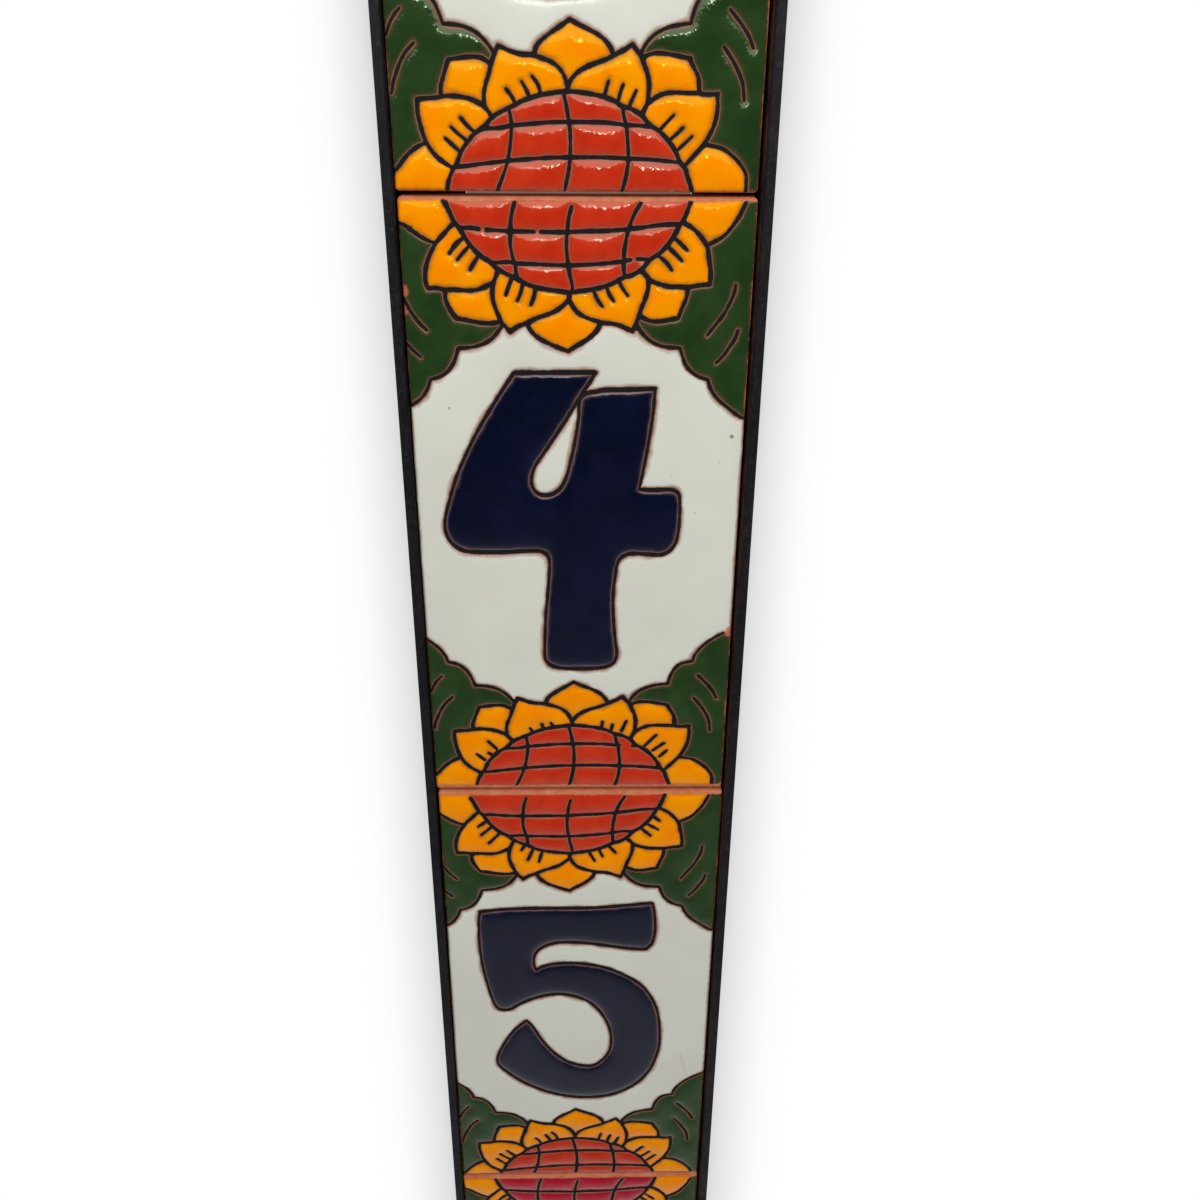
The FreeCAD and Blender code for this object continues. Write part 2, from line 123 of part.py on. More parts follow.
DIGIT_FIVE_FIELDS = [
    [[(-16.9, -47.9), (-16, -46.9), (-12.9, -48.2), (-9.3, -48.6), (-8.8, -47.2), (-7.9, -46.2), (-2.4, -42.5), (-1.6, -42.3), (4.9, -45.5), (6.3, -46.8), (7.2, -48.4), (9.1, -47.6), (10.4, -46.6), (11.2, -46.5), (11.6, -46.7), (11.6, -47.4), (12.2, -48.1), (13.7, -45.9), (15.3, -44.6), (18.3, -43.4), (21.7, -42.9), (22.8, -39.6), (24, -37.9), (25.4, -36.8), (27.8, -36.3), (28.3, -34.6), (29.2, -33.2), (31.6, -30.6), (33.9, -28.9), (36.8, -27.4), (36.8, 26.9), (34.9, 28.1), (30.6, 31.7), (29.3, 33.5), (28.5, 35.8), (25.7, 36.9), (23.7, 38.7), (21.9, 42.9), (19.1, 43.1), (16.9, 43.7), (14.8, 45), (13, 47), (12.6, 46.5), (11.9, 46.6), (11.2, 46.1), (10.8, 46.4), (10.9, 46.9), (9, 47.8), (7.2, 48.3), (5.1, 48.4), (3.9, 46.5), (2.4, 45.1), (-2, 42.2), (-2.6, 42.1), (-8.6, 44.7), (-10.9, 46.6), (-11.8, 48.2), (-13.5, 47.6), (-14.5, 46.9), (-14.6, 46.3), (-15, 46.1), (-15.9, 46.3), (-16, 47), (-16.7, 47.8), (-18, 46.1), (-20.2, 44.2), (-22.9, 43.2), (-26.4, 42.9), (-27.1, 40.7), (-28.7, 38.1), (-30.4, 36.7), (-33, 35.8), (-34.7, 32.3), (-36.8, 30.4), (-36.8, -30.7), (-34.5, -33), (-32.8, -36.4), (-30.3, -37.1), (-28.3, -39), (-27.3, -40.6), (-26.4, -43.2), (-23.1, -43.5), (-20.7, -44.3), (-18.9, -45.6)], [(-29, 36.2), (2.8, 35.9), (11.7, 36.5), (15.3, 37), (20.3, 38.2), (21, 37.9), (21.7, 29.1), (21.6, 25.5), (21, 22.2), (19.2, 19.8), (17, 19.6), (14.4, 19.8), (2.1, 22), (-1.7, 22.4), (-5.9, 22.4), (-8.9, 21.7), (-10.7, 20.7), (-12.5, 18.8), (-13.2, 16.8), (-13.2, 14.8), (-12.7, 13.3), (-10.9, 14.5), (-8.8, 15.1), (-5.5, 15.5), (-1.7, 15.5), (3.6, 14.7), (8.9, 13), (12.6, 10.9), (16.6, 8), (19, 5.4), (21.2, 1.7), (22.8, -2.5), (23.9, -8.9), (24.2, -17.1), (23.7, -21.2), (22.3, -26.6), (20.1, -31), (16.5, -35.3), (13.5, -37.6), (8.6, -39.7), (4.5, -40.4), (-0.5, -40.5), (-6.5, -39.4), (-10.8, -37.9), (-17.7, -33.9), (-20.6, -31.6), (-23.9, -28.3), (-25.3, -26.5), (-26, -24.5), (-25.9, -22.4), (-23.8, -16.6), (-20.3, -10.8), (-16.5, -7), (-16, -7.1), (-14.5, -8.9), (-11.5, -15), (-8.1, -20.2), (-5.1, -23.3), (-1.4, -25.3), (0.7, -25.9), (2.6, -26), (4.1, -25.5), (5.1, -24.7), (6.7, -22.8), (7.8, -20.7), (8.5, -17.9), (8.6, -15.8), (7.7, -9.9), (5.8, -5.4), (3.9, -2.5), (2.4, -0.9), (-1.1, 1.3), (-5.3, 2.5), (-8.4, 2.5), (-10.8, 2), (-14.4, 0.7), (-21.1, -3.4), (-23.5, -3.5), (-24.5, -3.1), (-25.4, -2.2), (-27.2, 3.3), (-29.3, 17), (-29.6, 27.5), (-29.3, 34.8)]],
    [[(-28.1, 35.3), (-28.6, 27.2), (-28.3, 17.2), (-26.1, 3.2), (-25.1, -0.4), (-24.4, -1.8), (-22.6, -2.6), (-21.2, -2.3), (-15.1, 1.6), (-9.4, 3.4), (-4.9, 3.5), (-0.9, 2.4), (3.2, -0.2), (6.1, -3.8), (8.6, -9.2), (9.3, -12.2), (9.6, -15.5), (9.5, -18.2), (9, -20.5), (8.3, -22.3), (6.8, -24.4), (5.2, -26), (3.5, -26.9), (1.1, -27), (-0.9, -26.6), (-5, -24.7), (-8.8, -21), (-11.5, -17.1), (-14.8, -10.4), (-16.4, -8.2), (-20.1, -12.3), (-23, -17.5), (-24.9, -22.7), (-25, -24.1), (-24.6, -25.5), (-23.7, -26.9), (-21, -29.7), (-17, -33.1), (-11.2, -36.5), (-6.5, -38.3), (-1.2, -39.4), (3.1, -39.5), (8.2, -38.7), (12.7, -36.8), (15.6, -34.7), (19.1, -30.6), (21.2, -26.4), (22.5, -21.8), (23.2, -16.8), (22.9, -9.2), (22, -3.6), (20.5, 0.6), (18.2, 4.7), (15.9, 7.2), (11.9, 10.1), (8, 12.2), (1.3, 14.1), (-1.9, 14.5), (-5.3, 14.5), (-10.2, 13.6), (-13, 11.9), (-14.1, 13.7), (-14.2, 17), (-13.5, 19.2), (-11.5, 21.4), (-9.1, 22.8), (-6.3, 23.4), (0.8, 23.2), (13.9, 20.9), (17.2, 20.6), (18.7, 20.8), (20, 22.6), (20.6, 25.7), (20.7, 28.9), (20, 37), (12.9, 35.6), (3.1, 34.9)]],
]
DIGIT_SIX_FIELDS = [
    [[(-16.9, -47.9), (-16, -46.9), (-12.9, -48.2), (-9.3, -48.6), (-8.8, -47.2), (-7.9, -46.2), (-2.4, -42.5), (-1.6, -42.3), (4.9, -45.5), (6.3, -46.8), (7.2, -48.4), (9.1, -47.6), (10.4, -46.6), (11.2, -46.5), (11.6, -46.7), (11.6, -47.4), (12.2, -48.1), (13.7, -45.9), (15.3, -44.6), (18.3, -43.4), (21.7, -42.9), (22.8, -39.6), (24, -37.9), (25.4, -36.8), (27.8, -36.3), (28.3, -34.6), (29.2, -33.2), (31.6, -30.6), (33.9, -28.9), (36.8, -27.4), (36.8, 26.9), (34.9, 28.1), (30.6, 31.7), (29.3, 33.5), (28.5, 35.8), (25.7, 36.9), (23.7, 38.7), (21.9, 42.9), (19.1, 43.1), (16.9, 43.7), (14.8, 45), (13, 47), (12.6, 46.5), (11.9, 46.6), (11.2, 46.1), (10.8, 46.4), (10.9, 46.9), (9, 47.8), (7.2, 48.3), (5.1, 48.4), (3.9, 46.5), (2.4, 45.1), (-2, 42.2), (-2.6, 42.1), (-8.6, 44.7), (-10.9, 46.6), (-11.8, 48.2), (-13.5, 47.6), (-14.5, 46.9), (-14.6, 46.3), (-15, 46.1), (-15.9, 46.3), (-16, 47), (-16.7, 47.8), (-18, 46.1), (-20.2, 44.2), (-22.9, 43.2), (-26.4, 42.9), (-27.1, 40.7), (-28.7, 38.1), (-30.4, 36.7), (-33, 35.8), (-34.7, 32.3), (-36.8, 30.4), (-36.8, -30.7), (-34.5, -33), (-32.8, -36.4), (-30.3, -37.1), (-28.3, -39), (-27.3, -40.6), (-26.4, -43.2), (-23.1, -43.5), (-20.7, -44.3), (-18.9, -45.6)], [(-3.1, -39.7), (-6, -39.4), (-9.9, -38.5), (-12.8, -37.4), (-15.9, -35.6), (-20.6, -31.6), (-24.8, -26), (-26.4, -22.9), (-28, -18.5), (-29.4, -11.3), (-29.6, -3.7), (-28.5, 4.5), (-26, 12.4), (-23.9, 16.9), (-21.5, 20.9), (-16.4, 27.5), (-10, 33.3), (-4.8, 36.4), (2.3, 38.6), (9.8, 38.9), (15.1, 38.1), (17.5, 36.9), (19, 35.3), (19.9, 33.7), (20.2, 32.1), (20.1, 30.7), (18.9, 27.8), (17.8, 26.7), (16.2, 25.8), (12, 24.5), (6.8, 23.6), (2.5, 21.6), (-0.6, 19.3), (-2.5, 17.3), (-4.7, 14.1), (-5.6, 11.6), (-2.6, 12.7), (0.5, 13.2), (4.2, 13.3), (7.5, 12.8), (12.5, 10.9), (15.6, 8.8), (18, 6.6), (20.5, 3.3), (22.1, 0.3), (24.1, -6), (24.7, -10.6), (24.7, -14.1), (23.9, -20), (22.7, -23.8), (20.4, -28.2), (17.8, -31.6), (14.5, -34.6), (11.5, -36.6), (6.9, -38.5), (1.5, -39.6)]],
    [[(-2.8, -38.7), (1.9, -38.5), (6.9, -37.4), (11.1, -35.6), (13.7, -33.9), (17.3, -30.6), (19.4, -27.8), (21.5, -23.8), (23, -19.2), (23.6, -15.2), (23.7, -10.9), (22.6, -4.3), (20.2, 1.7), (18.4, 4.5), (16.2, 6.9), (13.4, 9.1), (10.5, 10.7), (5, 12.2), (2, 12.3), (-0.8, 12), (-2.9, 11.5), (-6.2, 10.1), (-6.9, 10.5), (-6.1, 13.7), (-4.7, 16.1), (-2.7, 18.7), (0.6, 21.6), (5.1, 24.2), (14, 26.2), (16.2, 27), (17.7, 28), (18.7, 29.7), (19.1, 31.1), (18.8, 33.5), (18, 34.9), (16.8, 36.1), (14.3, 37.2), (9.6, 37.9), (2.1, 37.5), (-2.1, 36.3), (-5, 35.1), (-10.6, 31.5), (-16, 26.4), (-20.9, 19.9), (-24.9, 12.2), (-27.5, 4.1), (-28.6, -3.9), (-28.4, -11), (-27.6, -15.8), (-26.6, -19.4), (-24, -25.2), (-20.2, -30.5), (-17.6, -33), (-14.7, -35.1), (-11.9, -36.6), (-9.2, -37.6)], [(-6.4, 0.8), (-2.4, 1.1), (1.5, -0.1), (3.1, -1), (4.9, -2.7), (6.3, -4.6), (7.4, -6.7), (8.1, -9.4), (8.2, -15.1), (7.6, -18), (6.5, -20.9), (5, -23.2), (3.2, -25.1), (0.7, -26.7), (-1, -27.2), (-4.2, -27.2), (-8, -25.3), (-9.6, -23.7), (-11.1, -21.5), (-12, -19.6), (-12.9, -16.2), (-13.1, -10.7), (-12, -5.5), (-9.7, -1.5), (-8.1, -0)]],
    [[(-3.3, -26.3), (-1.9, -26.3), (0, -25.8), (1.9, -24.8), (3.8, -23), (6.2, -18.9), (7.3, -13.9), (7.3, -11.2), (6.8, -8.4), (6.2, -6.7), (4.7, -4.1), (3.4, -2.6), (1.9, -1.5), (-2.7, 0), (-6.7, -0.4), (-8.9, -2.2), (-10.8, -5.4), (-12.1, -11), (-12.1, -14.3), (-11.7, -16.9), (-11, -19.1), (-9.6, -21.9), (-7.3, -24.5), (-5.3, -25.7)]],
]


# ------------------------------------------------------------------- helpers
def polygon_face(loops, y):
    """Flat face in the plane Y = y from an outline and its holes."""
    wires = []
    for loop in loops:
        pts = [V(px, y, pz) for px, pz in loop]
        pts.append(pts[0])
        wires.append(Part.makePolygon(pts))
    face = Part.Face(wires[0])
    for hole in wires[1:]:
        face = face.cut(Part.Face(hole))
    return face


def rounded_plate(width, height, y_back, y_front, corner_r):
    """Plate with rounded corners, centred on the Y axis."""
    a, b, r = width / 2.0, height / 2.0, corner_r
    k = r * (1.0 - math.sqrt(0.5))
    edges = [
        Part.LineSegment(V(-a + r, 0, -b), V(a - r, 0, -b)).toShape(),
        Part.Arc(V(a - r, 0, -b), V(a - k, 0, -b + k), V(a, 0, -b + r)).toShape(),
        Part.LineSegment(V(a, 0, -b + r), V(a, 0, b - r)).toShape(),
        Part.Arc(V(a, 0, b - r), V(a - k, 0, b - k), V(a - r, 0, b)).toShape(),
        Part.LineSegment(V(a - r, 0, b), V(-a + r, 0, b)).toShape(),
        Part.Arc(V(-a + r, 0, b), V(-a + k, 0, b - k), V(-a, 0, b - r)).toShape(),
        Part.LineSegment(V(-a, 0, b - r), V(-a, 0, -b + r)).toShape(),
        Part.Arc(V(-a, 0, -b + r), V(-a + k, 0, -b + k), V(-a + r, 0, -b)).toShape(),
    ]
    face = Part.Face(Part.Wire(edges))
    face.translate(V(0, y_back, 0))
    return face.extrude(V(0, y_front - y_back, 0))


def edges_in_plane(shape, y):
    return [e for e in shape.Edges
            if abs(e.BoundBox.YMin - y) < 1e-4 and abs(e.BoundBox.YMax - y) < 1e-4]


def number_tile(place, fields):
    """Fired body with a rolled front edge and its raised glaze fields."""
    body = rounded_plate(TILE_W, TILE_H, TILE_BACK_Y, TILE_BODY_Y, TILE_CORNER_R)
    body = body.makeFillet(TILE_EDGE_R, edges_in_plane(body, TILE_BODY_Y))
    body = body.makeChamfer(TILE_BACK_CHAMFER, edges_in_plane(body, TILE_BACK_Y))
    sunk = TILE_BODY_Y + 0.4
    prisms = [polygon_face(loops, sunk).extrude(V(0, TILE_FACE_Y - sunk, 0))
              for loops in fields]
    solid = body.fuse(prisms)
    shift, height, turn = place
    solid.rotate(V(0, 0, 0), V(0, -1, 0), turn)
    solid.translate(V(shift, 0, height))
    return solid


def angle_bar(length):
    """Angle section drawn in X, Y with its heel at the origin, run along Z."""
    w, d, t = LEG_FLANGE, LEG_DEPTH, LEG_T
    s = math.sqrt(0.5)

    def arc(cx, cy, r, a0, a1):
        am = (a0 + a1) / 2.0
        p = [V(cx + r * math.cos(math.radians(a)), cy + r * math.sin(math.radians(a)), 0)
             for a in (a0, am, a1)]
        return Part.Arc(p[0], p[1], p[2]).toShape()

    def line(x0, y0, x1, y1):
        return Part.LineSegment(V(x0, y0, 0), V(x1, y1, 0)).toShape()

    h, e, r = HEEL_R, TOE_R, ROOT_R
    edges = [
        line(h, 0, w, 0),
        line(w, 0, w, -t + e),
        arc(w - e, -t + e, e, 0, -90),
        line(w - e, -t, t + r, -t),
        arc(t + r, -t - r, r, 90, 180),
        line(t, -t - r, t, -d + e),
        arc(t - e, -d + e, e, 0, -90),
        line(t - e, -d, 0, -d),
        line(0, -d, 0, -h),
        arc(h, -h, h, 180, 90),
    ]
    face = Part.Face(Part.Wire(edges))
    face.translate(V(0, 0, -length / 2.0))
    return face.extrude(V(0, 0, length))


def mitre_block(half_len, far):
    """Trapezium prism that keeps what lies inside the two 45 degree mitres
    of a side at X = 0, running along Z."""
    pts = [V(0, 5, -half_len), V(far, 5, -half_len + far),
           V(far, 5, half_len - far), V(0, 5, half_len), V(0, 5, -half_len)]
    return Part.Face(Part.makePolygon(pts)).extrude(V(0, -30, 0))


def frame_side(half_len):
    """One mitred length of angle, its outer face on X = 0, inside toward +X,
    with the outer ends chamfered for the corner welds."""
    bar = angle_bar(2 * half_len + 2)
    side = bar.common(mitre_block(half_len, LEG_FLANGE + 4))
    c = WELD_CUT
    for sign in (-1, 1):
        cut = [V(-2, 5, sign * (half_len - c - 2)), V(c + 2, 5, sign * (half_len + 2)),
               V(-2, 5, sign * (half_len + 2)), V(-2, 5, sign * (half_len - c - 2))]
        side = side.cut(Part.Face(Part.makePolygon(cut)).extrude(V(0, -30, 0)))
    return side


def corner_weld(sx, sz):
    """Bead that fills the chamfer of one outer corner, lightly domed."""
    c = WELD_CUT
    px, pz = sx * HX, sz * HZ
    a = V(px - sx * c, 0, pz)
    b = V(px, 0, pz - sz * c)
    bulge = 0.30 * c
    m = V(px - sx * bulge, 0, pz - sz * bulge)
    wire = Part.Wire([Part.Arc(a, m, b).toShape(), Part.LineSegment(b, a).toShape()])
    bead = Part.Face(wire)
    bead.translate(V(0, -0.3, 0))
    return bead.extrude(V(0, -(LEG_DEPTH - 0.6), 0))


def ear(sign):
    """Flat bar with a rounded end and one screw hole."""
    r = EAR_W / 2.0
    z0, zc = HZ, EAR_HOLE_Z
    edges = [
        Part.LineSegment(V(-r, 0, z0), V(r, 0, z0)).toShape(),
        Part.LineSegment(V(r, 0, z0), V(r, 0, zc)).toShape(),
        Part.Arc(V(r, 0, zc), V(0, 0, zc + r), V(-r, 0, zc)).toShape(),
        Part.LineSegment(V(-r, 0, zc), V(-r, 0, z0)).toShape(),
    ]
    plate = Part.Face(Part.Wire(edges)).extrude(V(0, -EAR_T, 0))
    plate = plate.makeChamfer(0.3, [e for e in edges_in_plane(plate, -EAR_T)
                                    if e.BoundBox.ZMax > z0 + 0.1])
    hole = Part.makeCylinder(EAR_HOLE_R, EAR_T + 2, V(0, 1, zc), V(0, -1, 0))
    plate = plate.cut(hole)
    if sign < 0:
        plate.rotate(V(0, 0, 0), V(0, 1, 0), 180)
    return plate


def ear_weld(sign):
    """Fillet bead between the ear's front and the frame's end face."""
    w = EAR_WELD
    a, b = V(0, -EAR_T, HZ), V(0, -EAR_T, HZ + w)
    c = V(0, -EAR_T - w, HZ)
    m = V(0, -EAR_T - 0.42 * w, HZ + 0.42 * w)
    wire = Part.Wire([Part.LineSegment(a, b).toShape(), Part.Arc(b, m, c).toShape(),
                      Part.LineSegment(c, a).toShape()])
    bead = Part.Face(wire)
    bead.translate(V(-EAR_W / 2.0 + 0.5, 0, 0))
    bead = bead.extrude(V(EAR_W - 1.0, 0, 0))
    if sign < 0:
        bead.rotate(V(0, 0, 0), V(0, 1, 0), 180)
    return bead


def adhesive_runs(place):
    """Two upright runs of adhesive, one on each flange behind a tile."""
    shift, height, turn = place
    runs = []
    for sign in (-1, 1):
        run = rounded_plate(BED_W, BED_L, -LEG_T, TILE_BACK_Y, 3.0)
        run.translate(V(sign * BED_X, 0, height))
        runs.append(run)
    return Part.makeCompound(runs)


# --------------------------------------------------------------------- build
def build():
    nodes = {}

    left = frame_side(HZ)
    left.translate(V(-HX, 0, 0))
    nodes["left_stile"] = left

    right = frame_side(HZ)
    right = right.mirror(V(0, 0, 0), V(1, 0, 0))
    right.translate(V(HX, 0, 0))
    nodes["right_stile"] = right

    # a rail is the same section laid across: turned about Y, inside downward
    rail = frame_side(HX)
    rail.rotate(V(0, 0, 0), V(0, 1, 0), 90)
    rail.translate(V(0, 0, HZ))
    nodes["top_rail"] = rail
    low = rail.mirror(V(0, 0, 0), V(0, 0, 1))
    nodes["bottom_rail"] = low

    nodes["corner_welds"] = Part.makeCompound(
        [corner_weld(sx, sz) for sx in (-1, 1) for sz in (-1, 1)])

    nodes["top_ear"] = ear(1)
    nodes["bottom_ear"] = ear(-1)
    nodes["ear_welds"] = Part.makeCompound([ear_weld(1), ear_weld(-1)])

    digits = {
        "number_tile_3": DIGIT_THREE_FIELDS,
        "number_tile_4": DIGIT_FOUR_FIELDS,
        "number_tile_5": DIGIT_FIVE_FIELDS,
        "number_tile_6": DIGIT_SIX_FIELDS,
    }
    for name, place in TILE_PLACES.items():
        nodes[name] = number_tile(place, FLOWER_FIELDS + digits[name])
        nodes["adhesive_" + name[7:]] = adhesive_runs(place)
    return nodes


os.makedirs("parts", exist_ok=True)
for node_name, shape in build().items():
    shape.exportStep("parts/" + node_name + ".step")
    print(node_name, "solids", len(shape.Solids), "volume", round(shape.Volume, 1),
          "valid", shape.isValid())
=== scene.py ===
"""Looks of a house number plaque: relief-glazed tiles in a painted angle frame.

Lengths in the drawing data are millimetres in a tile's own plane: u to the
right and z up from the tile's centre. Everything else is metres in the row
frame: +X right, +Z up, the wall is Y = 0 and the front faces -Y.
"""
import math

import bpy
import numpy as np
from mathutils import Matrix, Vector, kdtree
from mathutils.geometry import delaunay_2d_cdt


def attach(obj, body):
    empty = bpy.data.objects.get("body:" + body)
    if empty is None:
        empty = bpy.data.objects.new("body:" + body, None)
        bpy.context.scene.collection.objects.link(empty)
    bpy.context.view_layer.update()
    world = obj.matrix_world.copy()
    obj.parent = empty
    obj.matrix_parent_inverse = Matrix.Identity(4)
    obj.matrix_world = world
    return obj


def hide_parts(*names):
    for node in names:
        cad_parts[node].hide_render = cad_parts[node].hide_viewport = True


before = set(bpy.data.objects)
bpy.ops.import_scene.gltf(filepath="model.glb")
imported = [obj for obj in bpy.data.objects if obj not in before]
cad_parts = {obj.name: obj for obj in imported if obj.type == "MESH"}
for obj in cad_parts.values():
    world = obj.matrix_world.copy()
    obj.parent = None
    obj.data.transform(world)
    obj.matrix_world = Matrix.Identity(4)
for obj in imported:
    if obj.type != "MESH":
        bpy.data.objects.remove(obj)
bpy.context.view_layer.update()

MM = 0.001
TILE_W, TILE_H = 76.1, 150.5
BODY_FRONT_Y = -15.1       # front of the fired body
BACK_Y = -8.6              # back of the tile
CORNER_R = 0.9             # tile outline corners
EDGE_R = 0.95              # rolled front edge
WALL_Y = 0.35              # the wall stands just behind the plaque

